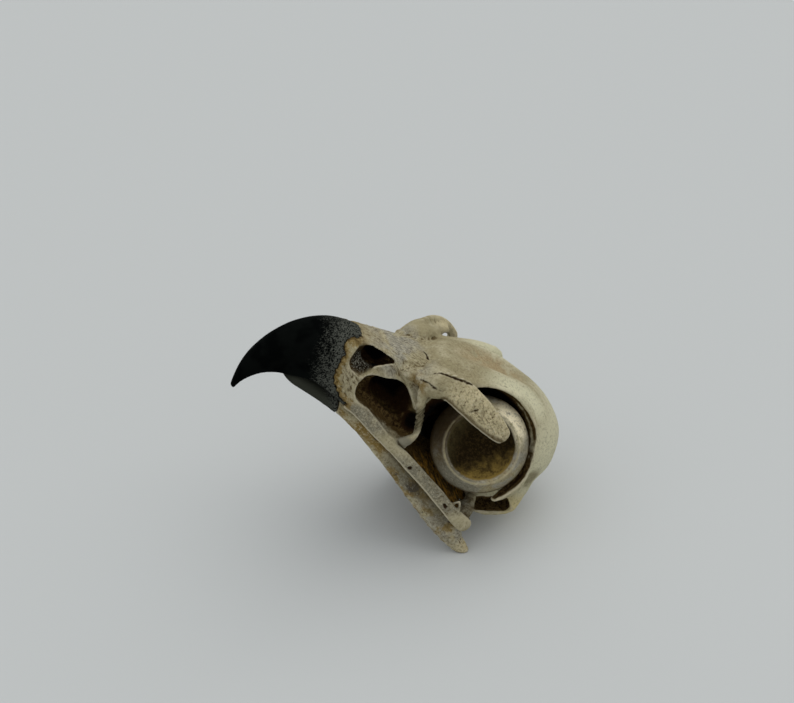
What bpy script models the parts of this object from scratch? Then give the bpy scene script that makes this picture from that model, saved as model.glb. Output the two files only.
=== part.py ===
"""A large hawk's skull at life size, lying tilted back on its jaw ends and its braincase.

Each bone is a closed body shaped from swept ellipsoids, added and carved as distances in
space. The dimensions are in millimetres in the skull's own frame: +X towards the bill, +Y to
the bird's left, +Z to the crown, with the zero on the midline, level with the rear ends of
the two cheek bars. An empty tilts the skull into the way it lies.
"""

import math

import bpy
from mathutils import Vector

# The skull as a whole.
MILLIMETRE = 0.001
PITCH = math.radians(42.6)
FLOOR_HEIGHT = -13.3
REST_X = 11.1
GAP = 0.4
VOXEL = 0.5
WIDER_THAN_SKULL = 1000.0
NEVER_AT_CENTRE = (1e-4, 1e-4, 1e-4)
CRUMB_POINTS = 120

# The bill: seen from the side its ridge is part of an ellipse and its lower edges are arcs.
CULMEN_CENTRE = (42.0, 0.0, -2.5)
CULMEN_HALF_SIZES = (17.8, 19.0)
HOOK_CENTRE = (47.3, 0.0, -9.9)
HOOK_RADIUS = 10.0
TOMIUM_CENTRE = (42.0, 0.0, -9.0)
TOMIUM_RADIUS = 11.9
BILL_SWEEP = math.radians(121)
BILL_HALF_WIDTH = 8.4
BILL_TIP_HALF_WIDTH = 0.5
SHEATH_CENTRE = (38.0, 0.0, 10.4)
SHEATH_RADIUS = 7.4
SHEATH_LOBE_CENTRE = (43.6, 0.0, 13.3)
SHEATH_LOBE_HALF_SIZES = (2.8, 2.1)
TIP_Z = -10.9

# The face: its side walls lean in upwards and forwards.
WALL_HALF_WIDTH = 8.4
WALL_X, WALL_Z = 38.0, 6.0
WALL_TAPER = 0.17
WALL_LEAN = 0.24
HINGE_X = 31.0
SEPTUM_HALF_THICKNESS = 0.8

# The eye rings.
RING_CENTRE = (7.7, 15.8, 13.7)
RING_TURN = math.radians(29)
RING_TILT = math.radians(14)
RING_OUTER_RADIUS = 11.8
RING_APERTURE_RADIUS = 8.3
RING_DEPTH = 5.5
DISH_DEPTH = 4.6

BONE = (0.62, 0.56, 0.42)
HORN = (0.012, 0.012, 0.013)
RING_BONE = (0.50, 0.46, 0.36)


# ---------------------------------------------------------------------------------------------
# Distances in space
# ---------------------------------------------------------------------------------------------

class Field:
    """A value that changes from place to place, held as Geometry Nodes maths."""

    def __init__(self, socket):
        self.socket = socket

    def __add__(self, other):
        return number("ADD", self, other)

    def __sub__(self, other):
        return number("SUBTRACT", self, other)

    def __rsub__(self, other):
        return number("SUBTRACT", other, self)

    def __mul__(self, other):
        return number("MULTIPLY", self, other)

    def __truediv__(self, other):
        return number("DIVIDE", self, other)

    def __neg__(self):
        return number("MULTIPLY", self, -1.0)

    __radd__ = __add__
    __rmul__ = __mul__


def maths_node(kind, operation, values):
    tree = next(value.socket.id_data for value in values if isinstance(value, Field))
    node = tree.nodes.new(kind)
    node.operation = operation
    for socket, value in zip(node.inputs, values):
        if isinstance(value, Field):
            tree.links.new(value.socket, socket)
        elif value is not None:
            socket.default_value = value
    return node


def number(operation, *values, clamp=False):
    node = maths_node("ShaderNodeMath", operation, values)
    node.use_clamp = clamp
    return Field(node.outputs["Value"])


def vector(operation, *values):
    node = maths_node("ShaderNodeVectorMath", operation, values)
    scalar = operation in {"LENGTH", "DOT_PRODUCT"}
    return Field(node.outputs["Value" if scalar else "Vector"])


def minimum(first, second):
    return number("MINIMUM", first, second)


def maximum(first, second):
    return number("MAXIMUM", first, second)


def coordinates(point):
    """The x, y and z of a point field, each a number field."""
    tree = point.socket.id_data
    split = tree.nodes.new("ShaderNodeSeparateXYZ")
    tree.links.new(point.socket, split.inputs[0])
    return [Field(output) for output in split.outputs]


def from_coordinates(x, y, z):
    tree = x.socket.id_data
    join = tree.nodes.new("ShaderNodeCombineXYZ")
    for socket, value in zip(join.inputs, (x, y, z)):
        tree.links.new(value.socket, socket)
    return Field(join.outputs[0])


def mirrored(point):
    """The point folded onto the bird's left, so that what is built there shows on both sides."""
    x, y, z = coordinates(point)
    return from_coordinates(x, number("ABSOLUTE", y), z)


def swept_ellipsoid():
    """The node group that holds the distance to an ellipsoid that sweeps and changes size."""
    tree = bpy.data.node_groups.get("Swept ellipsoid")
    if tree:
        return tree
    tree = bpy.data.node_groups.new("Swept ellipsoid", "GeometryNodeTree")
    for name in ("Point", "Start", "End", "Start size", "End size"):
        tree.interface.new_socket(name, in_out="INPUT", socket_type="NodeSocketVector")
    tree.interface.new_socket("Distance", in_out="OUTPUT", socket_type="NodeSocketFloat")
    sockets = tree.nodes.new("NodeGroupInput").outputs
    point, start, end, start_size, end_size = [Field(socket) for socket in sockets[:5]]
    offset = vector("SUBTRACT", vector("SUBTRACT", point, start), NEVER_AT_CENTRE)
    axis = vector("SUBTRACT", end, start)
    reached = vector("DOT_PRODUCT", offset, axis) / vector("DOT_PRODUCT", axis, axis)
    reached = number("ADD", reached, 0.0, clamp=True)
    offset = vector("SUBTRACT", offset, vector("SCALE", axis, None, None, reached))
    growth = vector("SCALE", vector("SUBTRACT", end_size, start_size), None, None, reached)
    size = vector("ADD", start_size, growth)
    scaled = vector("DIVIDE", offset, size)
    length = vector("LENGTH", scaled)
    slope = vector("LENGTH", vector("DIVIDE", scaled, size))
    distance = (length - 1.0) * length / slope
    tree.links.new(distance.socket, tree.nodes.new("NodeGroupOutput").inputs[0])
    return tree


def limb(point, start, end, size_start, size_end=None):
    """Distance to an ellipsoid that sweeps from start to end while its half sizes change."""
    tree = point.socket.id_data
    node = tree.nodes.new("GeometryNodeGroup")
    node.node_tree = swept_ellipsoid()
    tree.links.new(point.socket, node.inputs["Point"])
    node.inputs["Start"].default_value = start
    node.inputs["End"].default_value = end or start
    node.inputs["Start size"].default_value = size_start
    node.inputs["End size"].default_value = size_end or size_start
    return Field(node.outputs["Distance"])


def curve_through(stations, steps=3):
    """More stations between the given rows of numbers, along a Catmull-Rom curve."""
    rows = [stations[0], *stations, stations[-1]]
    path = []
    for before, start, end, after in zip(rows, rows[1:], rows[2:], rows[3:]):
        for step in range(steps):
            t = step / steps
            path.append([b + 0.5 * t * (c - a + t * (2 * a - 5 * b + 4 * c - d + t * (3 * (b - c) + d - a)))
                         for a, b, c, d in zip(before, start, end, after)])
    return path + [list(stations[-1])]


def chain(point, stations, steps=3):
    """Limbs along a curve through (x, y, z, half size x, half size y, half size z) stations."""
    path = curve_through(stations, steps)
    shape = None
    for start, end in zip(path, path[1:]):
        piece = limb(point, start[:3], end[:3], start[3:], end[3:])
        shape = piece if shape is None else minimum(shape, piece)
    return shape


def rod(point, stations, steps=2):
    """A round bar along a curve through (x, y, z, radius) stations."""
    return chain(point, [(x, y, z, radius, radius, radius) for x, y, z, radius in stations], steps)


def joined(first, second, blend):
    return number("SMOOTH_MIN", first, second, blend)


def cut(shape, tool, blend):
    return number("SMOOTH_MAX", shape, -tool, blend)


def inside(shape, limit, blend=0.0):
    return number("SMOOTH_MAX", shape, limit, blend) if blend else maximum(shape, limit)


def clear_of(shape, *neighbours):
    """The shape, cut back so that a gap stays between it and each neighbour."""
    for neighbour in neighbours:
        shape = maximum(shape, GAP - neighbour)
    return shape


def across(point, centre, half_x, half_z):
    """Distance to an elliptical cylinder that runs across the whole skull."""
    return limb(point, centre, None, (half_x, WIDER_THAN_SKULL, half_z))


# ---------------------------------------------------------------------------------------------
# Bones and horn
# ---------------------------------------------------------------------------------------------

def beak_form(point):
    """The upper bill's whole outline, sheath and bone, from the face to the hooked tip."""
    x, y, z = coordinates(point)
    depth = -across(point, CULMEN_CENTRE, *CULMEN_HALF_SIZES)
    swept = number("ARCTAN2", x - CULMEN_CENTRE[0], z - CULMEN_CENTRE[2])
    remaining = maximum(1.0 - swept / BILL_SWEEP, 0.0)
    half_width = minimum(remaining, 1.0) * (BILL_HALF_WIDTH - BILL_TIP_HALF_WIDTH) + BILL_TIP_HALF_WIDTH
    rounding = minimum(depth / (half_width * 1.15), 1.0)
    shoulder = number("SQRT", maximum(rounding * (2.0 - rounding), 0.0))
    side = number("ABSOLUTE", y) - half_width * shoulder
    form = inside(side * 0.9, -depth, 0.6)
    form = inside(form, TIP_Z - z, 0.5)
    form = cut(form, across(point, HOOK_CENTRE, HOOK_RADIUS, HOOK_RADIUS), 0.25)
    return cut(form, across(point, TOMIUM_CENTRE, TOMIUM_RADIUS, TOMIUM_RADIUS), 0.25)


def bone_side(point):
    """Distance past the edge where horn and bone meet, less than 0 on the bone's side."""
    x, _, _ = coordinates(point)
    edge = minimum(across(point, SHEATH_CENTRE, SHEATH_RADIUS, SHEATH_RADIUS), x - SHEATH_CENTRE[0])
    return minimum(edge, across(point, SHEATH_LOBE_CENTRE, *SHEATH_LOBE_HALF_SIZES))


def bill_trough(point):
    """The hollow under the upper bill that the lower bill closes into."""
    return joined(limb(point, (36, 0, -1.5), (47, 0, -1.5), (6, 6.2, 5.0), (4, 4.4, 3.6)),
                  limb(point, (47, 0, -1.5), (51.5, 0, -2.5), (3, 4.4, 3.6), (2.2, 1.8, 1.9)), 1.0)


def upper_bill(point):
    horn = cut(beak_form(point), bone_side(point), 0.8)
    horn = cut(horn, bill_trough(point), 0.5)
    return clear_of(horn, lower_jaw_form(point))


def face_form(point):
    """The face's outer walls, roof and floor, before the openings."""
    x, y, z = coordinates(point)
    half_width = WALL_HALF_WIDTH - (x - WALL_X) * WALL_TAPER - (z - WALL_Z) * WALL_LEAN
    sides = (number("ABSOLUTE", y) - half_width) * 0.96
    roof = (z - 16.1 + (x - 43.0) * 0.25) * 0.96
    walls = inside(sides, roof, 4.5)
    floor = (3.8 + (x - 39.0) * 0.1) - z
    walls = inside(walls, floor, 0.8)
    return inside(inside(walls, 21.5 - x, 1.0), x - 47.5)


def nostril(point):
    """A teardrop opening: deep behind, with a shallow bony floor in its round front."""
    p = mirrored(point)
    deep = limb(p, (39.4, 5.4, 14.2), (34.9, 6.4, 16.1), (2.4, 3.0, 2.2), (0.8, 3.0, 0.5))
    floor = chain(p, [(39.8, 7.8, 12.2, 2.4, 2.4, 2.7),
                      (41.3, 7.3, 12.5, 2.7, 2.2, 2.8),
                      (41.1, 6.0, 14.6, 2.4, 2.3, 1.9)], 1)
    return joined(deep, floor, 1.0)


def antorbital_window(point):
    """The egg-shaped bowl in the side of the face, in front of the eye."""
    p = mirrored(point)
    front = limb(p, (34.5, 8.4, 8.4), (30.3, 9.2, 9.6), (4.2, 3.8, 3.9), (4.4, 4.0, 4.5))
    rear = limb(p, (30.0, 9.3, 8.9), (25.0, 11.0, 6.9), (4.9, 4.0, 4.9), (4.4, 4.0, 4.3))
    return joined(front, rear, 1.5)


def face_hollow(point):
    p = mirrored(point)
    nasal = limb(p, (38.8, 3.0, 13.8), (35.0, 3.6, 14.6), (2.0, 2.2, 2.0), (1.8, 2.2, 1.6))
    side = limb(p, (31.2, 5.0, 10.2), (26.4, 5.2, 9.4), (3.6, 3.8, 3.8), (3.4, 4.0, 4.0))
    return joined(nasal, side, 1.0)


def cheek_root(point):
    """The bone bar below the face's window, which the cheek bar carries on."""
    p = mirrored(point)
    return chain(p, [(39.0, 7.8, 3.2, 1.8, 1.0, 1.4),
                     (34.5, 9.1, 3.0, 1.6, 0.8, 1.45),
                     (28.5, 10.7, 2.0, 1.4, 0.8, 1.45),
                     (22.9, 12.0, 1.1, 1.0, 0.8, 1.5)])


def skull_roof(point):
    """Braincase and forehead, before the eye sockets are taken out."""
    p = mirrored(point)
    braincase = limb(point, (-4.9, 0, 13.9), None, (14.2, 15.1, 13.2))
    forehead = limb(point, (4, 0, 17.8), None, (22, 13.5, 10.9))
    brow = rod(p, [(20.0, 9.0, 21.4, 0.9), (12.0, 9.6, 24.9, 1.0), (5.0, 10.4, 26.5, 1.2),
                   (1.0, 12.0, 25.2, 1.2), (-1.8, 14.4, 21.8, 1.3), (-5.4, 16.8, 13.5, 1.8), (-5.0, 17.8, 9.0, 1.6),
                   (-2.8, 18.9, 6.2, 1.0)])
    valley = limb(point, (21, 0, 30.9), (0, 0, 35.1), (6, 6.5, 7.0), (6, 6.5, 7.2))
    return cut(joined(joined(braincase, forehead, 4.0), brow, 2.5), valley, 2.5)


def eye_socket(point):
    p = mirrored(point)
    globe = limb(p, (8.1, 17.5, 14.0), None, (13.7, 15.4, 13.7))
    below = limb(p, (10.0, 12.0, 9.0), (11.0, 12.0, -10.0), (11.0, 10.6, 9.0), (11.0, 10.6, 9.0))
    return joined(globe, below, 2.5)


def midline_wall(point):
    """The thin wall between the eyes with the keel bar along its lower edge."""
    thin = SEPTUM_HALF_THICKNESS
    wall = limb(point, (3, 0, 14), (22, 0, 15), (8, thin, 10), (4, thin, 8))
    keel = rod(point, [(-4, 0, 1.8, 2.6), (12, 0, 4.2, 1.4), (26, 0, 5.6, 1.0)])
    return joined(wall, keel, 1.5)


def front_wall(point):
    """The upright plate that closes the eye socket in front."""
    p = mirrored(point)
    return limb(p, (23.4, 3.0, 14.0), (23.4, 7.5, 15.0), (1.0, 4.0, 7.5), (1.0, 3.0, 5.5))


def skull_base(point):
    """The floor of the braincase, the ear hollows' edges and the knob the neck bears on."""
    p = mirrored(point)
    plate = limb(point, (-12.5, 0, 2.0), (-4, 0, 1.2), (4.6, 7.0, 3.6), (5.0, 6.6, 2.8))
    wing = limb(p, (-12.4, 10.5, 7.6), (-13.4, 11.6, 3.9), (2.4, 3.4, 4.5), (1.7, 2.6, 2.1))
    lip = rod(p, [(-4.6, 11.8, -1.7, 1.1), (-9.0, 12.8, -0.5, 1.0), (-13.0, 12.2, 2.0, 1.3)])
    inner = limb(p, (-5.5, 9.5, 1.0), (-11.5, 9.5, 3.5), (3.0, 3.0, 3.0), (3.0, 3.2, 3.4))
    knob = limb(point, (-16.4, 0, -0.8), None, (2.2, 1.9, 1.7))
    return joined(joined(joined(joined(plate, inner, 1.5), wing, 2.0), lip, 1.2), knob, 1.0)


def ear_hollow(point):
    p = mirrored(point)
    return limb(p, (-6.2, 13.4, 0.2), (-11.4, 12.8, 3.1), (1.9, 4.6, 1.45), (1.7, 4.6, 1.5))


def spinal_opening(point):
    return limb(point, (-21.5, 0, 3.0), (-16.5, 0, 4.4), (3.0, 2.9, 2.5), (2.6, 2.6, 2.3))


def cranium(point):
    solid = joined(skull_roof(point), skull_base(point), 2.5)
    solid = cut(solid, eye_socket(point), 1.0)
    solid = cut(solid, ear_hollow(point), 0.8)
    solid = cut(solid, spinal_opening(point), 0.8)
    solid = joined(solid, midline_wall(point), 1.2)
    return joined(solid, front_wall(point), 1.2)


def face(point):
    """The face's bone, hollowed: side walls, roof and the partition on the midline."""
    rostrum = inside(beak_form(point), 36.0 - coordinates(point)[0], 1.0)
    outside = joined(face_form(point), rostrum, 1.5)
    hollow = joined(face_hollow(point), joined(nostril(point), antorbital_window(point), 0.2), 0.6)
    hollow = joined(hollow, bill_trough(point), 0.6)
    partition = inside(limb(point, (34, 0, 12), None, (12, 0.7, 8)), outside)
    return joined(cut(outside, hollow, 0.4), partition, 0.8)


def hinge_side(point):
    """Distance ahead of the flexing line between the forehead and the face."""
    x, _, z = coordinates(point)
    return (x - HINGE_X) * 0.98 - (z - 18.0) * 0.2


def spur_bed(point):
    """The swelling of the forehead that the brow bone is set into."""
    bed = limb(point, (29.4, 7.2, 16.2), (24.5, 9.6, 19.6), (2.4, 1.5, 1.7), (2.6, 2.0, 2.4))
    return joined(bed, limb(point, (26.5, 8.0, 20.1), (20.9, 11.2, 22.7), (1.6, 2.6, 1.3), (0.8, 2.3, 0.9)), 2.5)


def head(point):
    return joined(joined(cranium(point), spur_bed(mirrored(point)), 3.0), face(point), 1.5)


def braincase(point):
    p = mirrored(point)
    bone = inside(head(point), hinge_side(point) + GAP / 2)
    return clear_of(bone, cheek_root(point) - 2.5, lacrimal(p), quadrate(p), eye_ring(p), palatine(p))


def upper_jaw(point):
    bone = inside(head(point), GAP / 2 - hinge_side(point))
    bone = inside(joined(bone, cheek_root(point), 1.0), bone_side(point) + GAP)
    p = mirrored(point)
    return clear_of(bone, lower_jaw_form(point), lacrimal(p), palatine(p), cheek_bar(p))


def lacrimal(point):
    """The brow bone: its head on the forehead, the bar down to the cheek and the long spur."""
    root = limb(point, (27.8, 9.3, 17.3), (25.0, 11.2, 18.4), (1.8, 1.3, 1.4), (2.4, 1.8, 2.8))
    inner = chain(point, [(24.5, 9.5, 19.2, 2.4, 1.6, 2.6), (19.5, 13.2, 20.8, 1.8, 1.6, 2.7),
                          (15.5, 16.0, 21.0, 1.4, 1.2, 2.4)], 1)
    spur = chain(point, [(25.4, 10.9, 19.4, 1.6, 1.0, 2.9),
                         (22.5, 13.2, 20.9, 1.8, 1.0, 3.4),
                         (19.0, 15.8, 21.2, 1.7, 1.0, 3.5),
                         (14.5, 18.6, 20.9, 1.7, 1.0, 3.1),
                         (10.7, 20.2, 20.5, 1.7, 1.1, 2.5),
                         (9.3, 20.5, 20.2, 1.3, 1.0, 2.0)])
    bar = chain(point, [(26.2, 10.6, 15.8, 1.4, 0.8, 1.8),
                        (24.1, 11.2, 12.2, 0.6, 0.8, 1.6),
                        (21.9, 11.8, 9.0, 0.5, 0.8, 1.6),
                        (20.8, 12.2, 6.3, 0.6, 0.8, 1.2),
                        (21.8, 12.4, 3.6, 1.6, 0.7, 0.9)])
    return joined(joined(joined(root, inner, 1.5), spur, 1.0), bar, 1.2)


def hooked_lacrimal(point):
    """The right brow bone, whose spur has a notch in its lower edge that leaves a hooked tip."""
    notch = limb(point, (15.4, 13.0, 21.7), (11.4, 20.4, 18.3), (1.2, 1.8, 1.3), (1.4, 1.8, 2.8))
    return cut(lacrimal(point), notch, 0.3)


def cheek_bar(point):
    """The slender bar from the face back to the jaw joint, with its widened end."""
    bar = chain(point, [(24.5, 11.7, 1.3, 0.9, 0.6, 1.3),
                        (19.5, 13.0, 0.6, 1.0, 0.7, 1.6),
                        (12.0, 14.9, -0.9, 1.2, 0.65, 1.6),
                        (7.2, 16.3, -1.95, 1.2, 0.65, 1.65),
                        (2.5, 18.0, -3.0, 1.2, 0.7, 1.75),
                        (-1.6, 19.4, -3.5, 1.7, 0.9, 1.9)])
    spur = rod(point, [(3.5, 17.6, -1.2, 0.4), (2.8, 18.0, 0.3, 0.4), (1.6, 18.3, -1.3, 0.4)])
    return joined(bar, spur, 0.5)


def quadrate(point):
    """The block that hangs the lower jaw, with two knobs below."""
    body = rod(point, [(-3.0, 12.4, 0.7, 1.2), (-2.6, 14.8, -1.6, 1.6), (-2.2, 16.2, -3.6, 1.7)])
    inner_knob = rod(point, [(-2.6, 14.8, -1.6, 1.6), (-1.2, 11.6, -3.8, 1.4)])
    return joined(body, inner_knob, 1.2)


def pterygoid(point):
    """The strut from the jaw joint to the palate."""
    return rod(point, [(-0.2, 9.6, -1.8, 1.1), (4.0, 6.4, -0.2, 0.8), (7.6, 3.6, 1.4, 1.1)])


def palatine(point):
    """The palate's plate on one side, with the dried web between it and the cheek bar."""
    plate = chain(point, [(10.4, 3.2, 0.8, 1.2, 1.2, 0.8),
                          (16.0, 5.0, 0.2, 2.5, 2.8, 0.7),
                          (24.0, 4.8, 1.2, 2.5, 2.0, 0.6),
                          (34.0, 4.0, 2.4, 2.0, 1.2, 0.6)])
    x, y, z = coordinates(point)
    height = z + 1.5 - (13.4 - y) * 0.34 - (x - 8.0) * 0.06
    web = (number("ABSOLUTE", height) - 0.5) * 0.94
    outer = y - (17.0 - x * 0.26)
    inner = maximum(3.4 - y, 10.6 - x * 0.75 - y)
    web = inside(inside(web, outer, 0.3), maximum(maximum(inner, 1.0 - x), x - 23.0), 0.3)
    return clear_of(joined(plate, web, 0.8), pterygoid(point), quadrate(point), cheek_bar(point),
                    eye_ring(point), lower_jaw_form(point))


def eye_ring(point):
    """The bony ring of the eye, a blunt cone with a shallow dish in its mouth."""
    centre = Vector(RING_CENTRE)
    outward = Vector((math.sin(RING_TURN) * math.cos(RING_TILT),
                      math.cos(RING_TURN) * math.cos(RING_TILT), math.sin(RING_TILT)))
    offset = vector("SUBTRACT", point, centre)
    height = vector("DOT_PRODUCT", offset, outward)
    radius = vector("LENGTH", vector("SUBTRACT", offset, vector("SCALE", outward, None, None, height)))
    lip_radius = RING_APERTURE_RADIUS + 0.5
    taper = (RING_OUTER_RADIUS - lip_radius) / RING_DEPTH
    flank = (radius - lip_radius + height * taper) * 0.87
    ring = inside(inside(flank, height, 0.4), -RING_DEPTH - height, 1.5)
    rise = (RING_APERTURE_RADIUS ** 2 - DISH_DEPTH ** 2) / (2 * DISH_DEPTH)
    dish_centre = centre + outward * rise
    dish = vector("LENGTH", vector("SUBTRACT", point, dish_centre)) - (DISH_DEPTH + rise)
    return cut(ring, dish, 0.3)


def lower_jaw_form(point):
    """The two jaw branches and the chin they share, bone and sheath together."""
    p = mirrored(point)
    branch = chain(p, [(39.0, 4.2, 0.4, 2.0, 1.4, 1.7),
                       (30.0, 8.0, 0.0, 1.6, 0.9, 2.1),
                       (19.0, 11.3, -2.2, 1.6, 0.8, 2.8),
                       (8.0, 14.0, -5.4, 1.6, 0.9, 3.2),
                       (0.0, 16.2, -7.8, 1.6, 1.2, 2.9),
                       (-6.0, 17.4, -9.4, 1.6, 1.2, 1.9),
                       (-9.2, 17.8, -10.0, 1.0, 0.9, 1.0)])
    socket = limb(p, (-2.6, 17.0, -7.6), (-3.2, 12.0, -7.4), (2.4, 1.6, 1.8), (1.4, 1.4, 1.2))
    chin = limb(point, (36.5, 0, -0.1), (46.4, 0, -0.5), (3.0, 6.2, 2.2), (5.0, 3.9, 2.1))
    return joined(joined(branch, socket, 1.5), chin, 1.2)


def chin_side(point):
    """Distance ahead of the edge of the lower bill's sheath."""
    x, _, z = coordinates(point)
    return (x - 37.4) * 0.9 - (z - 0.5) * 0.42


def lower_bill(point):
    return inside(lower_jaw_form(point), GAP / 2 - chin_side(point))


def lower_jaw(point):
    return inside(lower_jaw_form(point), chin_side(point) + GAP / 2)


MIDLINE_PIECES = [
    ("braincase", braincase, (-28, -23, -14), (34, 23, 33), 2700, BONE),
    ("upper_jaw", upper_jaw, (18, -15, -4), (50, 15, 25), 1900, BONE),
    ("bill_upper", upper_bill, (36, -10, -14), (63, 10, 20), 560, HORN),
    ("mandible", lower_jaw, (-13, -22, -14), (44, 22, 6), 960, BONE),
    ("bill_lower", lower_bill, (34, -9, -5), (54, 9, 6), 260, HORN),
]
LEFT_PIECES = [("lacrimal_left", lacrimal, (5, 5, 0), (34, 26, 28), 400, BONE)]
RIGHT_PIECES = [("lacrimal_right", hooked_lacrimal, (5, 5, 0), (34, 26, 28), 400, BONE)]
PAIRED_PIECES = [
    ("jugal", cheek_bar, (-5, 9, -7), (25, 22, 5), 240, BONE),
    ("quadrate", quadrate, (-9, 7, -8), (6, 20, 8), 180, BONE),
    ("pterygoid", pterygoid, (-3, 0, -5), (12, 13, 5), 100, BONE),
    ("palatine", palatine, (-1, 0, -5), (39, 17, 8), 300, BONE),
    ("sclerotic_ring", eye_ring, (-6, 2, -1), (22, 24, 29), 480, RING_BONE),
]


# ---------------------------------------------------------------------------------------------
# Bodies in the scene
# ---------------------------------------------------------------------------------------------

def make_material(name, colour, roughness):
    material = bpy.data.materials.new(name)
    material.use_nodes = True
    shader = material.node_tree.nodes["Principled BSDF"]
    shader.inputs["Base Color"].default_value = (*colour, 1.0)
    shader.inputs["Roughness"].default_value = roughness
    return material


def without_crumbs(tree, mesh):
    """The mesh without the loose bits that the cuts leave behind."""
    island = tree.nodes.new("GeometryNodeInputMeshIsland")
    size = tree.nodes.new("GeometryNodeAccumulateField")
    size.data_type = "INT"
    size.inputs["Value"].default_value = 1
    small = tree.nodes.new("FunctionNodeCompare")
    small.operation = "LESS_THAN"
    small.inputs["B"].default_value = CRUMB_POINTS
    delete = tree.nodes.new("GeometryNodeDeleteGeometry")
    tree.links.new(island.outputs["Island Index"], size.inputs["Group ID"])
    tree.links.new(size.outputs["Total"], small.inputs["A"])
    tree.links.new(small.outputs["Result"], delete.inputs["Selection"])
    tree.links.new(mesh, delete.inputs["Geometry"])
    return delete.outputs["Geometry"]


def body_tree(name, shape, low, high, side):
    """A node group that turns a distance field into a closed surface, in metres."""
    tree = bpy.data.node_groups.new(name, "GeometryNodeTree")
    tree.interface.new_socket("Geometry", in_out="OUTPUT", socket_type="NodeSocketGeometry")
    if side < 0:
        low, high = (low[0], -high[1], low[2]), (high[0], -low[1], high[2])
    point = Field(tree.nodes.new("GeometryNodeInputPosition").outputs[0])
    x, _, z = coordinates(point)
    above_floor = x * math.sin(PITCH) + z * math.cos(PITCH) - FLOOR_HEIGHT
    if side < 0:
        point = vector("MULTIPLY", point, (1.0, -1.0, 1.0))
    distance = maximum(shape(point), -above_floor)
    cube = tree.nodes.new("GeometryNodeVolumeCube")
    tree.links.new((-distance).socket, cube.inputs["Density"])
    cube.inputs["Background"].default_value = -1.0
    cube.inputs["Min"].default_value = low
    cube.inputs["Max"].default_value = high
    for axis, label in enumerate("XYZ"):
        cube.inputs["Resolution " + label].default_value = round((high[axis] - low[axis]) / VOXEL) + 1
    mesh = tree.nodes.new("GeometryNodeVolumeToMesh")
    mesh.inputs["Threshold"].default_value = 0.0
    scale = tree.nodes.new("GeometryNodeTransform")
    scale.inputs["Scale"].default_value = (MILLIMETRE,) * 3
    output = tree.nodes.new("NodeGroupOutput")
    tree.links.new(cube.outputs["Volume"], mesh.inputs["Volume"])
    tree.links.new(without_crumbs(tree, mesh.outputs["Mesh"]), scale.inputs["Geometry"])
    tree.links.new(scale.outputs["Geometry"], output.inputs[0])
    return tree


def face_count(body):
    evaluated = body.evaluated_get(bpy.context.evaluated_depsgraph_get())
    return sum(len(face.vertices) - 2 for face in evaluated.data.polygons)


def make_body(name, shape, low, high, triangles, material, collection, parent, side):
    body = bpy.data.objects.new(name, bpy.data.meshes.new(name))
    body.data.materials.append(material)
    body.parent = parent
    collection.objects.link(body)
    surface = body.modifiers.new("Surface", "NODES")
    surface.node_group = body_tree(name, shape, low, high, side)
    bpy.context.view_layer.update()
    soften = body.modifiers.new("Soften", "SMOOTH")
    soften.factor = 0.5
    soften.iterations = 3
    thin_out = body.modifiers.new("Thin out", "DECIMATE")
    thin_out.ratio = min(1.0, triangles / face_count(body))
    thin_out.use_collapse_triangulate = True
    return body


def main():
    for item in list(bpy.data.objects):
        bpy.data.objects.remove(item)
    collection = bpy.data.collections.new("hawk_skull")
    bpy.context.scene.collection.children.link(collection)
    pose = bpy.data.objects.new("pose", None)
    pose.rotation_euler = (0.0, -PITCH, math.pi)
    pose.location = (REST_X * MILLIMETRE, 0.0, -FLOOR_HEIGHT * MILLIMETRE)
    collection.objects.link(pose)
    left = LEFT_PIECES + [(name + "_left", *rest) for name, *rest in PAIRED_PIECES]
    right = RIGHT_PIECES + [(name + "_right", *rest) for name, *rest in PAIRED_PIECES]
    for pieces, side in ((MIDLINE_PIECES + left, 1), (right, -1)):
        for name, shape, low, high, triangles, colour in pieces:
            material = make_material(name, colour, 0.6)
            make_body(name, shape, low, high, triangles, material, collection, pose, side)


main()
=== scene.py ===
"""The finished look of a large hawk's skull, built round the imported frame.

Every bone and both horn sheaths are modelled again as distances in space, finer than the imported
solids, and finished with relief and procedural colour. Shapes are in millimetres in the skull's
own frame: +X towards the bill, +Y to the bird's left, +Z to the crown. The pose then tilts them
onto the floor.
"""

import math

import bpy
from mathutils import Euler, Matrix, Vector


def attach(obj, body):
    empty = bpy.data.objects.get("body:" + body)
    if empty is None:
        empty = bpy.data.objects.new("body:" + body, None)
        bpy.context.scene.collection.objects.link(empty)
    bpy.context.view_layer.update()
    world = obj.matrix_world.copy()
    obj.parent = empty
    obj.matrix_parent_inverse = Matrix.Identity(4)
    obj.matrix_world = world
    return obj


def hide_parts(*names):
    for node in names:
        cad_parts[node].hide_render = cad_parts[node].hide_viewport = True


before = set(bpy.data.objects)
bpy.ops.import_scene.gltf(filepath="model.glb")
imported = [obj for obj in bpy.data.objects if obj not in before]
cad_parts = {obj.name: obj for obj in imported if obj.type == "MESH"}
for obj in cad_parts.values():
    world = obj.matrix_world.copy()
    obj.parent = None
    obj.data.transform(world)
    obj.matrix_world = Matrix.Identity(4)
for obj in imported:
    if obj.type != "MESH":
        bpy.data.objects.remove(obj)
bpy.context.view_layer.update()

# The pose and the fineness of the surfaces.
MILLIMETRE = 0.001
PITCH = math.radians(42.6)
FLOOR_HEIGHT = -13.3
REST_X = 11.1
VOXEL = 0.22
SUTURE = 0.12
WIDER_THAN_SKULL = 1000.0
NEVER_AT_CENTRE = (1e-4, 1e-4, 1e-4)
CRUMB_POINTS = 150
CRACK_DEPTH = 0.25
ON_THE_OUTLINE, AT_ITS_EDGE, WELL_INSIDE = 0.0, 0.75, 1.9
HAIR = 0.05
EDGE_BLUR = 8

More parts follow.
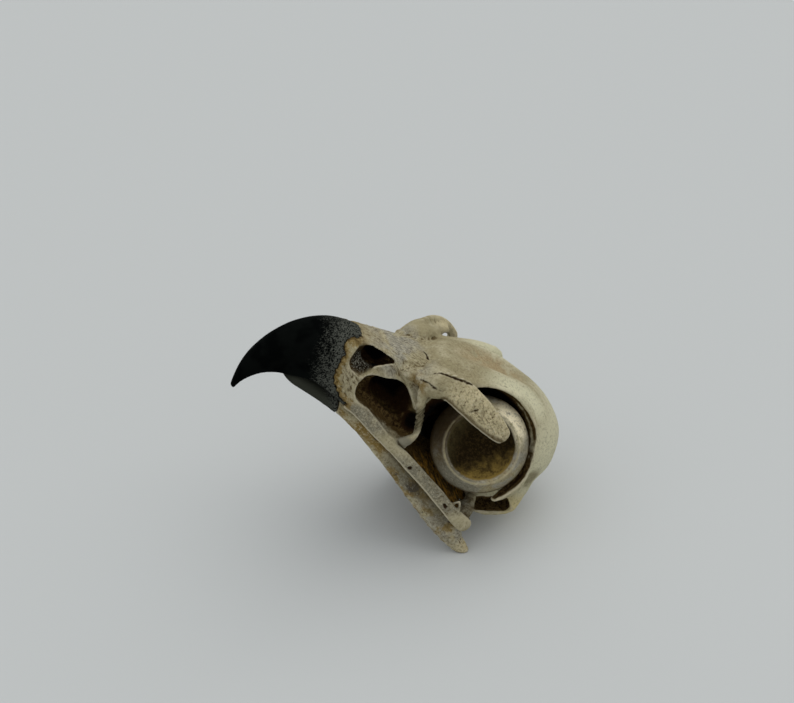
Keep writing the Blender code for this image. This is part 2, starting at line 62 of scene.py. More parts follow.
# The bill: seen from the side its ridge is part of an ellipse and its lower edges are arcs.
CULMEN_CENTRE = (42.0, 0.0, -2.5)
CULMEN_HALF_SIZES = (17.8, 19.0)
HOOK_CENTRE = (47.3, 0.0, -9.9)
HOOK_RADIUS = 10.0
TOMIUM_CENTRE = (42.0, 0.0, -9.0)
TOMIUM_RADIUS = 11.9
BILL_SWEEP = math.radians(121)
BILL_HALF_WIDTH = 8.4
BILL_TIP_HALF_WIDTH = 0.5
SHEATH_CENTRE = (38.0, 0.0, 10.4)
SHEATH_RADIUS = 7.4
SHEATH_LOBE_CENTRE = (43.6, 0.0, 13.3)
SHEATH_LOBE_HALF_SIZES = (2.8, 2.1)
TIP_Z = -10.9

# The face: its side walls lean in upwards and forwards.
WALL_HALF_WIDTH = 8.4
WALL_X, WALL_Z = 38.0, 6.0
WALL_TAPER = 0.17
WALL_LEAN = 0.24
SEPTUM_HALF_THICKNESS = 0.8

# The eye rings.
RING_CENTRE = (7.7, 15.8, 13.7)
RING_TURN = math.radians(29)
RING_TILT = math.radians(14)
RING_OUTER_RADIUS = 11.8
RING_APERTURE_RADIUS = 8.3
RING_DEPTH = 5.5
DISH_DEPTH = 4.6

# The camera: where it looks from, and how far the view's middle is from the skull's zero.
VIEW_TURN = math.radians(-14.3)
VIEW_DOWN = math.radians(33.8)
VIEW_OFFSET = (-11.7, 26.3, 337.0)
FOCAL_PIXELS = 1400.0
IMAGE_WIDTH = 794
SENSOR_WIDTH = 36.0

# The floor in metres, and the light: each sun's name, direction, width in degrees, power, colour.
FLOOR_SIZE = 6.0
WORLD_COLOUR = (0.96, 0.985, 1.0)
SIDEWAYS_LIGHT, OVERHEAD_LIGHT = 0.24, 0.80
SUNS = (("right_light", (0.60, 0.15, 1.0), 70, 0.85, (1.0, 0.99, 0.97)),
        ("left_light", (-0.75, -0.35, 1.0), 70, 0.38, (0.97, 0.99, 1.0)))


# ------------------------------
# Fields: values that change from place to place, as Geometry Nodes or shader maths
# ------------------------------

class Field:
    def __init__(self, socket):
        self.socket = socket

    def __add__(self, other):
        return number("ADD", self, other)

    def __sub__(self, other):
        return number("SUBTRACT", self, other)

    def __rsub__(self, other):
        return number("SUBTRACT", other, self)

    def __mul__(self, other):
        return number("MULTIPLY", self, other)

    def __truediv__(self, other):
        return number("DIVIDE", self, other)

    def __neg__(self):
        return number("MULTIPLY", self, -1.0)

    __radd__ = __add__
    __rmul__ = __mul__


def new_node(kind, values):
    """A node in the tree of the first Field in values."""
    tree = next(value.socket.id_data for value in values if isinstance(value, Field))
    return tree.nodes.new(kind)


def feed(node, values):
    """Links or sets a node's inputs in order; None leaves an input alone."""
    for socket, value in zip(node.inputs, values):
        put(socket, value)
    return node


def put(socket, value):
    if isinstance(value, Field):
        socket.id_data.links.new(value.socket, socket)
    elif value is not None:
        socket.default_value = value


def number(operation, *values, clamp=False):
    node = new_node("ShaderNodeMath", values)
    node.operation = operation
    node.use_clamp = clamp
    return Field(feed(node, values).outputs["Value"])


def vector(operation, *values):
    node = new_node("ShaderNodeVectorMath", values)
    node.operation = operation
    scalar = operation in {"LENGTH", "DOT_PRODUCT"}
    return Field(feed(node, values).outputs["Value" if scalar else "Vector"])


def minimum(first, second):
    return number("MINIMUM", first, second)


def maximum(first, second):
    return number("MAXIMUM", first, second)


def coordinates(point):
    node = feed(new_node("ShaderNodeSeparateXYZ", [point]), [point])
    return [Field(output) for output in node.outputs]


def from_coordinates(x, y, z):
    return Field(feed(new_node("ShaderNodeCombineXYZ", [x, y, z]), [x, y, z]).outputs[0])


def mirrored(point):
    """The point folded onto the bird's left, so that what is built there shows on both sides."""
    x, y, z = coordinates(point)
    return from_coordinates(x, number("ABSOLUTE", y), z)


def ramp(value, start, end):
    """0 at start and 1 at end, easing in and out between."""
    node = new_node("ShaderNodeMapRange", [value])
    node.interpolation_type = "SMOOTHSTEP"
    return Field(feed(node, [value, start, end, 0.0, 1.0]).outputs["Result"])


def noise(point, size, detail=2.0, roughness=0.5, warp=0.0):
    """Smooth noise between about 0.3 and 0.7 whose lumps are about size millimetres apart."""
    node = new_node("ShaderNodeTexNoise", [point])
    put(node.inputs["Vector"], point)
    put(node.inputs["Scale"], 1.0 / size)
    put(node.inputs["Detail"], detail)
    put(node.inputs["Roughness"], roughness)
    put(node.inputs["Distortion"], warp)
    return Field(node.outputs[0])


def cells(point, size):
    """Distance to the nearest of many scattered points, in cell widths."""
    node = new_node("ShaderNodeTexVoronoi", [point])
    put(node.inputs["Vector"], point)
    put(node.inputs["Scale"], 1.0 / size)
    return Field(node.outputs["Distance"])


def stretched(point, turn, sizes):
    """The point in a frame turned by the angles turn and drawn out by sizes, for streaks."""
    turned = new_node("ShaderNodeVectorRotate", [point])
    turned.rotation_type = "EULER_XYZ"
    put(turned.inputs["Vector"], point)
    turned.inputs["Rotation"].default_value = turn
    return vector("DIVIDE", Field(turned.outputs[0]), sizes)


def spot(point, centre, half_sizes, soft=0.6):
    """1 inside an ellipsoid, fading to 0 at its surface."""
    scaled = vector("DIVIDE", vector("SUBTRACT", point, centre), half_sizes)
    return ramp(vector("LENGTH", scaled), 1.0, 1.0 - soft)


def swept_ellipsoid():
    """The node group that holds the distance to an ellipsoid that sweeps and changes size."""
    tree = bpy.data.node_groups.get("Swept ellipsoid")
    if tree:
        return tree
    tree = bpy.data.node_groups.new("Swept ellipsoid", "GeometryNodeTree")
    for name in ("Point", "Start", "End", "Start size", "End size"):
        tree.interface.new_socket(name, in_out="INPUT", socket_type="NodeSocketVector")
    tree.interface.new_socket("Distance", in_out="OUTPUT", socket_type="NodeSocketFloat")
    sockets = tree.nodes.new("NodeGroupInput").outputs
    point, start, end, start_size, end_size = [Field(socket) for socket in sockets[:5]]
    offset = vector("SUBTRACT", vector("SUBTRACT", point, start), NEVER_AT_CENTRE)
    axis = vector("SUBTRACT", end, start)
    reached = vector("DOT_PRODUCT", offset, axis) / vector("DOT_PRODUCT", axis, axis)
    reached = number("ADD", reached, 0.0, clamp=True)
    offset = vector("SUBTRACT", offset, vector("SCALE", axis, None, None, reached))
    growth = vector("SCALE", vector("SUBTRACT", end_size, start_size), None, None, reached)
    size = vector("ADD", start_size, growth)
    scaled = vector("DIVIDE", offset, size)
    length = vector("LENGTH", scaled)
    slope = vector("LENGTH", vector("DIVIDE", scaled, size))
    distance = (length - 1.0) * length / slope
    tree.links.new(distance.socket, tree.nodes.new("NodeGroupOutput").inputs[0])
    return tree


def limb(point, start, end, size_start, size_end=None):
    """Distance to an ellipsoid that sweeps from start to end while its half sizes change."""
    node = new_node("GeometryNodeGroup", [point])
    node.node_tree = swept_ellipsoid()
    feed(node, [point, start, end or start, size_start, size_end or size_start])
    return Field(node.outputs["Distance"])


def curve_through(stations, steps=3):
    """More stations between the given rows of numbers, along a Catmull-Rom curve."""
    rows = [stations[0], *stations, stations[-1]]
    path = []
    for before, start, end, after in zip(rows, rows[1:], rows[2:], rows[3:]):
        for step in range(steps):
            t = step / steps
            path.append([b + 0.5 * t * (c - a + t * (2 * a - 5 * b + 4 * c - d + t * (3 * (b - c) + d - a)))
                         for a, b, c, d in zip(before, start, end, after)])
    return path + [list(stations[-1])]


def chain(point, stations, steps=3):
    """Limbs along a curve through (x, y, z, half size x, half size y, half size z) stations."""
    path = curve_through(stations, steps)
    shape = None
    for start, end in zip(path, path[1:]):
        piece = limb(point, start[:3], end[:3], start[3:], end[3:])
        shape = piece if shape is None else minimum(shape, piece)
    return shape


def rod(point, stations, steps=2):
    """A round bar along a curve through (x, y, z, radius) stations."""
    return chain(point, [(x, y, z, radius, radius, radius) for x, y, z, radius in stations], steps)


def thread(point, places):
    """A hairline along straight runs between the places."""
    return rod(point, [(*place, HAIR) for place in places], 1)


def joined(first, second, blend):
    return number("SMOOTH_MIN", first, second, blend)


def cut(shape, tool, blend):
    return number("SMOOTH_MAX", shape, -tool, blend)


def inside(shape, limit, blend=0.0):
    return number("SMOOTH_MAX", shape, limit, blend) if blend else maximum(shape, limit)


def clear_of(shape, *neighbours):
    """The shape, cut back so that a hairline stays between it and each neighbour."""
    for neighbour in neighbours:
        shape = maximum(shape, SUTURE - neighbour)
    return shape


def across(point, centre, half_x, half_z):
    """Distance to an elliptical cylinder that runs across the whole skull."""
    return limb(point, centre, None, (half_x, WIDER_THAN_SKULL, half_z))


# ------------------------------
# Bones and horn
# ------------------------------

def beak_form(point):
    """The upper bill's whole outline, sheath and bone, from the face to the hooked tip."""
    x, y, z = coordinates(point)
    depth = -across(point, CULMEN_CENTRE, *CULMEN_HALF_SIZES)
    swept = number("ARCTAN2", x - CULMEN_CENTRE[0], z - CULMEN_CENTRE[2])
    remaining = maximum(1.0 - swept / BILL_SWEEP, 0.0)
    half_width = minimum(remaining, 1.0) * (BILL_HALF_WIDTH - BILL_TIP_HALF_WIDTH) + BILL_TIP_HALF_WIDTH
    rounding = minimum(depth / (half_width * 1.15), 1.0)
    shoulder = number("SQRT", maximum(rounding * (2.0 - rounding), 0.0))
    side = number("ABSOLUTE", y) - half_width * shoulder
    form = inside(side * 0.9, -depth, 0.6)
    form = inside(form, TIP_Z - z, 0.5)
    form = cut(form, across(point, HOOK_CENTRE, HOOK_RADIUS, HOOK_RADIUS), 0.25)
    return cut(form, across(point, TOMIUM_CENTRE, TOMIUM_RADIUS, TOMIUM_RADIUS), 0.25)


def bone_side(point):
    """Distance past the ragged edge where horn and bone meet, less than 0 on the bone's side."""
    x, _, _ = coordinates(point)
    edge = minimum(across(point, SHEATH_CENTRE, SHEATH_RADIUS, SHEATH_RADIUS), x - SHEATH_CENTRE[0])
    edge = minimum(edge, across(point, SHEATH_LOBE_CENTRE, *SHEATH_LOBE_HALF_SIZES))
    return edge + (noise(point, 1.5, 4.0, 0.6) - 0.5) * 1.9


def bill_trough(point):
    """The hollow under the upper bill that the lower bill closes into."""
    return joined(limb(point, (36, 0, -1.5), (47, 0, -1.5), (6, 6.2, 5.0), (4, 4.4, 3.6)),
                  limb(point, (47, 0, -1.5), (51.5, 0, -2.5), (3, 4.4, 3.6), (2.2, 1.8, 1.9)), 1.0)


def upper_bill(point):
    horn = cut(beak_form(point) - 0.12, bone_side(point), 0.3)
    horn = cut(horn, bill_trough(point), 0.5)
    return clear_of(horn, lower_jaw_form(point))


def face_form(point):
    """The face's outer walls, roof and floor, before the openings."""
    x, y, z = coordinates(point)
    half_width = WALL_HALF_WIDTH - (x - WALL_X) * WALL_TAPER - (z - WALL_Z) * WALL_LEAN
    sides = (number("ABSOLUTE", y) - half_width) * 0.96
    roof = (z - 16.1 + (x - 43.0) * 0.25) * 0.96
    walls = inside(sides, roof, 4.5)
    floor = (3.8 + (x - 39.0) * 0.1) - z
    walls = inside(walls, floor, 0.8)
    return inside(inside(walls, 20.0 - x, 1.0), x - 47.5)


def nostril(point):
    """A teardrop opening: deep behind, with a shallow bony floor in its round front."""
    p = mirrored(point)
    deep = limb(p, (39.4, 5.4, 14.2), (34.9, 6.4, 16.1), (2.4, 3.0, 2.2), (0.8, 3.0, 0.5))
    floor = chain(p, [(39.8, 7.8, 12.2, 2.4, 2.4, 2.7),
                      (41.3, 7.3, 12.5, 2.7, 2.2, 2.8),
                      (41.1, 6.0, 14.6, 2.4, 2.3, 1.9)], 1)
    return joined(deep, floor, 1.0)


def antorbital_window(point):
    """The egg-shaped bowl in the side of the face, in front of the eye."""
    p = mirrored(point)
    front = limb(p, (34.5, 8.4, 8.4), (30.3, 9.2, 9.6), (4.2, 3.8, 3.9), (4.4, 4.0, 4.5))
    rear = limb(p, (30.0, 9.3, 8.9), (25.0, 11.0, 6.9), (4.9, 4.0, 4.9), (4.4, 4.0, 4.3))
    return joined(front, rear, 1.5)


def face_hollow(point):
    p = mirrored(point)
    nasal = limb(p, (38.8, 3.0, 13.8), (35.0, 3.6, 14.6), (2.0, 2.2, 2.0), (1.8, 2.2, 1.6))
    side = limb(p, (31.2, 5.0, 10.2), (26.4, 5.2, 9.4), (3.6, 3.8, 3.8), (3.4, 4.0, 4.0))
    return joined(nasal, side, 1.0)


def cheek_root(point):
    """The bone bar below the face's window, which the cheek bar carries on."""
    p = mirrored(point)
    return chain(p, [(39.0, 7.8, 3.2, 1.8, 1.0, 1.4),
                     (34.5, 9.1, 3.0, 1.6, 0.8, 1.45),
                     (28.5, 10.7, 2.0, 1.4, 0.8, 1.45),
                     (22.9, 12.0, 1.1, 1.0, 0.8, 1.5)])


def skull_roof(point):
    """Braincase and forehead, before the eye sockets are taken out."""
    p = mirrored(point)
    braincase = limb(point, (-4.9, 0, 13.9), None, (14.2, 15.1, 13.2))
    forehead = limb(point, (4, 0, 17.8), None, (22, 13.5, 10.9))
    brow = rod(p, [(20.0, 9.0, 21.4, 0.9), (12.0, 9.6, 24.9, 1.0), (5.0, 10.4, 26.5, 1.2),
                   (1.0, 12.0, 25.2, 1.2), (-1.8, 14.4, 21.8, 1.3), (-5.4, 16.8, 13.5, 1.8),
                   (-5.0, 17.8, 9.0, 1.6), (-2.8, 18.9, 6.2, 1.0)])
    valley = limb(point, (21, 0, 30.9), (0, 0, 35.1), (6, 6.5, 7.0), (6, 6.5, 7.2))
    return cut(joined(joined(braincase, forehead, 4.0), brow, 2.5), valley, 2.5)


def eye_socket(point):
    p = mirrored(point)
    globe = limb(p, (8.1, 17.5, 14.0), None, (13.7, 15.4, 13.7))
    below = limb(p, (10.0, 12.0, 9.0), (11.0, 12.0, -10.0), (11.0, 10.6, 9.0), (11.0, 10.6, 9.0))
    return joined(globe, below, 2.5)


def midline_wall(point):
    """The thin wall between the eyes with the keel bar along its lower edge."""
    thin = SEPTUM_HALF_THICKNESS
    wall = limb(point, (3, 0, 14), (22, 0, 15), (8, thin, 10), (4, thin, 8))
    keel = rod(point, [(-4, 0, 1.8, 2.6), (12, 0, 4.2, 1.4), (26, 0, 5.6, 1.0)])
    return joined(wall, keel, 1.5)


def front_wall(point):
    """The upright plate that closes the eye socket in front."""
    p = mirrored(point)
    return limb(p, (23.4, 3.0, 14.0), (23.4, 7.5, 15.0), (1.0, 4.0, 7.5), (1.0, 3.0, 5.5))


def skull_base(point):
    """The floor of the braincase, the ear hollows' edges and the knob the neck bears on."""
    p = mirrored(point)
    plate = limb(point, (-12.5, 0, 2.0), (-4, 0, 1.2), (4.6, 7.0, 3.6), (5.0, 6.6, 2.8))
    wing = limb(p, (-12.4, 10.5, 7.6), (-13.4, 11.6, 3.9), (2.4, 3.4, 4.5), (1.7, 2.6, 2.1))
    lip = rod(p, [(-4.6, 11.8, -1.7, 1.1), (-9.0, 12.8, -0.5, 1.0), (-13.0, 12.2, 2.0, 1.3)])
    inner = limb(p, (-5.5, 9.5, 1.0), (-11.5, 9.5, 3.5), (3.0, 3.0, 3.0), (3.0, 3.2, 3.4))
    knob = limb(point, (-16.4, 0, -0.8), None, (2.2, 1.9, 1.7))
    return joined(joined(joined(joined(plate, inner, 1.5), wing, 2.0), lip, 1.2), knob, 1.0)


def ear_hollow(point):
    p = mirrored(point)
    return limb(p, (-6.2, 13.4, 0.2), (-11.4, 12.8, 3.1), (1.9, 4.6, 1.45), (1.7, 4.6, 1.5))


def spinal_opening(point):
    return limb(point, (-21.5, 0, 3.0), (-16.5, 0, 4.4), (3.0, 2.9, 2.5), (2.6, 2.6, 2.3))


def cranium(point):
    solid = joined(skull_roof(point), skull_base(point), 2.5)
    solid = cut(solid, eye_socket(point), 0.4)
    solid = cut(solid, ear_hollow(point), 0.5)
    solid = cut(solid, spinal_opening(point), 0.8)
    solid = joined(solid, midline_wall(point), 1.2)
    return joined(solid, front_wall(point), 1.2)


def face(point):
    """The face's bone, hollowed: side walls, roof and the partition on the midline."""
    rostrum = inside(beak_form(point), 36.0 - coordinates(point)[0], 1.0)
    outside = joined(face_form(point), rostrum, 1.5)
    hollow = joined(face_hollow(point), joined(nostril(point), antorbital_window(point), 0.2), 0.6)
    hollow = joined(hollow, bill_trough(point), 0.6)
    partition = inside(limb(point, (34, 0, 12), None, (12, 0.7, 8)), outside)
    return joined(cut(outside, hollow, 0.4), partition, 0.8)


def spur_bed(point):
    """The swelling of the forehead that the brow bone is set into."""
    bed = limb(point, (29.4, 7.2, 16.2), (24.5, 9.6, 19.6), (2.4, 1.5, 1.7), (2.6, 2.0, 2.4))
    tongue = limb(point, (26.5, 8.0, 20.1), (20.9, 11.2, 22.7), (1.6, 2.6, 1.3), (0.8, 2.3, 0.9))
    return joined(bed, tongue, 2.5)


def head(point):
    """Braincase and upper jaw, which are one fused bone in a grown bird."""
    p = mirrored(point)
    bone = joined(joined(cranium(point), spur_bed(p), 3.0), face(point), 1.5)
    bone = inside(joined(bone, cheek_root(point), 1.0), bone_side(point) + SUTURE)
    return clear_of(bone, lower_jaw_form(point), eye_ring(p), quadrate(p))


def envelope(point):
    """The head's outline with every opening and hollow filled in."""
    solid = minimum(joined(skull_roof(point), skull_base(point), 2.5), face_form(point))
    return minimum(minimum(solid, beak_form(point)), cheek_root(point))


def lacrimal(point):
    """The brow bone: its head on the forehead, the bar down to the cheek and the long spur."""
    root = limb(point, (27.8, 9.3, 17.3), (25.0, 11.2, 18.4), (1.8, 1.3, 1.4), (2.4, 1.8, 2.8))
    inner = chain(point, [(24.5, 9.5, 19.2, 2.4, 1.6, 2.6), (19.5, 13.2, 20.8, 1.8, 1.6, 2.7),
                          (15.5, 16.0, 21.0, 1.4, 1.2, 2.4)], 1)
    spur = chain(point, [(25.4, 10.9, 19.4, 1.6, 1.0, 2.9),
                         (22.5, 13.2, 20.9, 1.8, 1.0, 3.4),
                         (19.0, 15.8, 21.2, 1.7, 1.0, 3.5),
                         (14.5, 18.6, 20.9, 1.7, 1.0, 3.1),
                         (10.7, 20.2, 20.5, 1.7, 1.1, 2.5),
                         (9.3, 20.5, 20.2, 1.3, 1.0, 2.0)])
    bar = chain(point, [(26.2, 10.6, 15.8, 1.4, 0.8, 1.8),
                        (24.1, 11.2, 12.2, 0.6, 0.8, 1.6),
                        (21.9, 11.8, 9.0, 0.5, 0.8, 1.6),
                        (20.8, 12.2, 6.3, 0.6, 0.8, 1.2),
                        (21.8, 12.4, 3.6, 1.6, 0.7, 0.9)])
    return joined(joined(joined(root, inner, 1.5), spur, 2.6), bar, 1.2)


def hooked_lacrimal(point):
    """The right brow bone, whose spur has a notch in its lower edge that leaves a hooked tip."""
    notch = limb(point, (15.4, 13.0, 21.7), (11.0, 20.4, 18.0), (1.2, 1.8, 1.3), (1.8, 1.8, 2.8))
    return cut(lacrimal(point), notch, 0.3)


def cheek_bar(point):
    """The slender bar from the face back to the jaw joint, with its widened end."""
    bar = chain(point, [(24.5, 11.7, 1.3, 0.9, 0.6, 1.3),
                        (19.5, 13.0, 0.6, 1.0, 0.7, 1.6),
                        (12.0, 14.9, -0.9, 1.2, 0.65, 1.6),
                        (7.2, 16.3, -1.95, 1.2, 0.65, 1.65),
                        (2.5, 18.0, -3.0, 1.2, 0.7, 1.75),
                        (-1.6, 19.4, -3.5, 1.7, 0.9, 1.9)])
    spur = rod(point, [(3.5, 17.6, -1.2, 0.35), (2.8, 18.0, 0.3, 0.3), (1.6, 18.3, -1.3, 0.35)])
    return joined(bar, spur, 0.5)


def quadrate(point):
    """The block that hangs the lower jaw, with two knobs below."""
    body = rod(point, [(-3.0, 12.4, 0.7, 1.2), (-2.6, 14.8, -1.6, 1.6), (-2.2, 16.2, -3.6, 1.7)])
    inner_knob = rod(point, [(-2.6, 14.8, -1.6, 1.6), (-1.2, 11.6, -3.8, 1.4)])
    return joined(body, inner_knob, 1.2)


def pterygoid(point):
    """The strut from the jaw joint to the palate."""
    return rod(point, [(-0.2, 9.6, -1.8, 1.1), (4.0, 6.4, -0.2, 0.8), (7.6, 3.6, 1.4, 1.1)])


def palatine(point):
    """The palate's plate on one side, with the dried web between it and the cheek bar."""
    plate = chain(point, [(10.4, 3.2, 0.8, 1.2, 1.2, 0.8),
                          (16.0, 5.0, 0.2, 2.5, 2.8, 0.7),
                          (24.0, 4.8, 1.2, 2.5, 2.0, 0.6),
                          (34.0, 4.0, 2.4, 2.0, 1.2, 0.6)])
    x, y, z = coordinates(point)
    height = z + 1.5 - (13.4 - y) * 0.34 - (x - 8.0) * 0.06
    web = (number("ABSOLUTE", height) - 0.45) * 0.94
    outer = y - (17.0 - x * 0.26)
    web = inside(inside(web, outer, 0.3), maximum(maximum(1.6 - y, -4.5 - x), x - 24.0), 0.3)
    return clear_of(joined(plate, web, 0.8), pterygoid(point), quadrate(point), cheek_bar(point),
                    eye_ring(point), lower_jaw_form(point))


def ring_frame(point):
    """Height above the eye ring's mouth, distance from its axis and the offset from its centre."""
    outward = Vector((math.sin(RING_TURN) * math.cos(RING_TILT),
                      math.cos(RING_TURN) * math.cos(RING_TILT), math.sin(RING_TILT)))
    offset = vector("SUBTRACT", point, RING_CENTRE)
    height = vector("DOT_PRODUCT", offset, outward)
    radius = vector("LENGTH", vector("SUBTRACT", offset, vector("SCALE", outward, None, None, height)))
    return height, radius, outward


def eye_ring(point):
    """The bony ring of the eye, a blunt cone with a shallow dish in its mouth."""
    height, radius, outward = ring_frame(point)
    lip_radius = RING_APERTURE_RADIUS + 0.5
    taper = (RING_OUTER_RADIUS - lip_radius) / RING_DEPTH
    flank = (radius - lip_radius + height * taper) * 0.87
    ring = inside(inside(flank, height, 0.35), -RING_DEPTH - height, 1.5)
    rise = (RING_APERTURE_RADIUS ** 2 - DISH_DEPTH ** 2) / (2 * DISH_DEPTH)
    dish_centre = Vector(RING_CENTRE) + outward * rise
    dish = vector("LENGTH", vector("SUBTRACT", point, dish_centre)) - (DISH_DEPTH + rise)
    return cut(ring, dish, 0.15)


def lower_jaw_form(point):
    """The two jaw branches and the chin they share, bone and sheath together."""
    p = mirrored(point)
    branch = chain(p, [(39.0, 4.2, 0.4, 2.0, 1.4, 1.7),
                       (30.0, 8.0, 0.0, 1.6, 0.9, 2.1),
                       (19.0, 11.3, -2.2, 1.6, 0.8, 2.8),
                       (8.0, 14.0, -5.4, 1.6, 0.9, 3.2),
                       (0.0, 16.2, -7.8, 1.6, 1.2, 2.9),
                       (-6.0, 17.4, -9.4, 1.6, 1.2, 1.9),
                       (-9.2, 17.8, -10.0, 1.0, 0.9, 1.0)])
    socket = limb(p, (-2.6, 17.0, -7.6), (-3.2, 12.0, -7.4), (2.4, 1.6, 1.8), (1.4, 1.4, 1.2))
    chin = limb(point, (36.5, 0, -0.1), (46.4, 0, -0.5), (3.0, 6.2, 2.2), (5.0, 3.9, 2.1))
    return joined(joined(branch, socket, 1.5), chin, 1.2)


def chin_side(point):
    """Distance ahead of the edge of the lower bill's sheath."""
    x, _, z = coordinates(point)
    return (x - 37.4) * 0.9 - (z - 0.5) * 0.42


def lower_bill(point):
    return inside(lower_jaw_form(point) - 0.1, SUTURE / 2 - chin_side(point))


def lower_jaw(point):
    return inside(lower_jaw_form(point), chin_side(point) + SUTURE / 2)


def cracks(point):
    """Distance to the open sutures, creases and pits of the face."""
    p = mirrored(point)
    suture = rod(p, [(27.3, 10.3, 20.0, 0.05), (26.4, 11.3, 21.8, 0.05), (24.1, 13.0, 23.1, 0.15),
                     (21.1, 14.7, 24.5, 0.15)])
    crease = rod(p, [(28.6, 10.3, 17.6, 0.1), (27.3, 11.8, 18.5, 0.05), (26.4, 12.6, 18.5, 0.15),
                     (24.5, 13.3, 19.1, 0.05)])
    nick = rod(point, [(26.9, 0.0, 20.2, 0.15), (26.2, 1.8, 20.3, 0.05), (26.3, 3.2, 20.2, 0.2)])
    pits = minimum(rod(p, [(30.2, 9.3, 16.5, 0.2), (29.6, 9.2, 16.1, 0.15)]),
                   rod(p, [(29.0, 9.2, 15.6, 0.2), (28.6, 9.4, 15.9, 0.05)]))
    tip = rod(p, [(18.6, 17.7, 19.3, 0.05), (17.7, 18.3, 21.5, 0.15)])
    cheek = minimum(rod(p, [(17.2, 14.2, -0.4, 0.25), (16.9, 14.3, -0.2, 0.25)]),
                    rod(p, [(5.0, 17.6, -2.4, 0.3), (4.6, 17.8, -2.6, 0.3)]))
    distance = minimum(minimum(minimum(suture, crease), minimum(nick, pits)), minimum(tip, cheek))
    _, y, _ = coordinates(point)
    closed_on_the_right = ramp(y, 1.0, -2.0)
    return distance + (noise(point, 0.7, 3.0) - 0.5) * 0.7 + closed_on_the_right


def pale_lines(point):
    """Distance to the lower edges of the cheek bars and the brow bones, where a pale line is painted as a
    highlight.
    """
    p = mirrored(point)
    cheek = thread(p, [(39.0, 8.4, 1.9), (34.5, 9.7, 1.7), (28.5, 11.3, 0.6), (22.9, 12.6, -0.4),
                       (19.5, 13.5, -0.9), (12.0, 15.4, -2.4), (7.2, 16.8, -3.5), (2.5, 18.5, -4.7)])
    brow = thread(p, [(22.5, 13.8, 17.6), (19.0, 16.4, 17.8), (14.5, 19.2, 17.9), (10.7, 20.9, 18.1),
                      (9.0, 21.0, 18.6)])
    return cheek, brow


# ------------------------------
# Finish: the relief in millimetres and the depth inside the filled outline
# ------------------------------

def worn_places(point):
    """1 where the bone is rough: the bill's root, the left brow spur and the jaw's rear ends."""
    p = mirrored(point)
    places = spot(p, (30.0, 6.0, 18.0), (9.0, 7.0, 6.0)) * 0.6
    places = maximum(places, spot(point, (13.0, 19.5, 21.0), (11.0, 6.0, 5.0), 0.9) * 0.8)
    places = maximum(places, spot(p, (-5.0, 17.5, -9.0), (9.0, 5.0, 4.5)))
    return maximum(places, spot(p, (42.0, 8.0, 6.0), (5.0, 4.0, 9.0)))


def lengthwise(point):
    """The point in a frame drawn out along the grain of the face and forehead."""
    return stretched(mirrored(point), (0.0, 0.45, 0.35), (2.6, 1.0, 1.0))


def bone_rise(point):
    worn = worn_places(point)
    swell = (noise(point, 5.0, 1.0) - 0.5) * 0.4
    wrinkles = number("ABSOLUTE", noise(lengthwise(point), 1.1, 2.0, 0.5, 0.6) - 0.5) * (worn * 0.9 + 0.2)
    pits = ramp(cells(point, 1.1), 0.24, 0.05) * ramp(noise(point, 3.0), 0.48, 0.6) * (worn * 0.2 + 0.02)
    return swell - wrinkles - pits


def near(distance, reach):
    """1 where the distance is 0, easing to 0 at the reach on both sides."""
    return ramp(number("ABSOLUTE", distance), reach, 0.0)


def head_finish(point):
    depth = -envelope(point)
    outside = ramp(depth, 1.4, 0.5)
    # Painted shade: the eye socket's walls get a larger depth, so the recess layers paint them darker.
    depth = depth * (near(eye_socket(point), 0.5) * 1.6 + 1.0)
    socket, window, hole = eye_socket(point), antorbital_window(point), nostril(point)
    rim = maximum(maximum(near(socket, 0.7), near(window, 0.6)), near(hole, 0.5)) * outside
    groove = near(window - 1.2, 0.6) * outside * 0.7
    p = mirrored(point)
    _, y, _ = coordinates(p)
    # Painted shade: the hollow behind the eye sockets, the inside of the nose and the inner side of the ear
    # hollow get large depths, so the recess layers paint them nearly black.
    behind = spot(p, (19.0, 5.0, 10.0), (6.5, 8.0, 11.0), 0.35) * 6.0
    behind = maximum(behind, spot(p, (12.0, 1.0, 6.0), (4.5, 4.0, 5.5), 0.35) * 6.0)
    nose_shade = spot(p, (37.4, 4.0, 14.9), (4.6, 7.5, 3.2), 0.4) * ramp(depth, 0.2, 0.5)
    dark = maximum(behind, nose_shade * 7.0)
    ear = near(ear_hollow(point), 0.8) * ramp(y, 13.6, 12.8) * 2.4
    ragged = near(bone_side(point) + 0.8, 1.6) * (noise(point, 0.9, 4.0, 0.65) - 0.5) * 0.8
    return bone_rise(point) + rim * 0.10 - groove * 0.12 + ragged, maximum(maximum(depth, dark), ear)


def spread(point, value):
    """The same value everywhere, as a field."""
    return coordinates(point)[0] * 0.0 + value


def plain_finish(depth):
    """The finish of a piece that lies at one depth inside the head's filled outline."""
    return lambda point: (bone_rise(point), spread(point, depth))


def horn_finish(point):
    edge = ramp(bone_side(point), 6.0, 0.0)
    rise = (noise(point, 6.0, 1.0) - 0.5) * 0.25 + (noise(point, 0.8, 2.0) - 0.5) * edge * 0.3
    return rise, spread(point, ON_THE_OUTLINE)


def ring_finish(point):
    height, radius, _ = ring_frame(mirrored(point))
    rise = (noise(point, 3.0, 2.0) - 0.5) * 0.22 + (noise(point, 0.8, 2.0) - 0.5) * 0.1
    lip = near(radius - (RING_APERTURE_RADIUS + 0.35), 0.6) * ramp(height, -1.4, -0.5)
    dish = ramp(radius, RING_APERTURE_RADIUS + 0.1, RING_APERTURE_RADIUS - 1.6) * ramp(height, -5.4, -4.6)
    return rise + lip * 0.06, dish * 3.0


# ------------------------------
# From fields to meshes
# ------------------------------

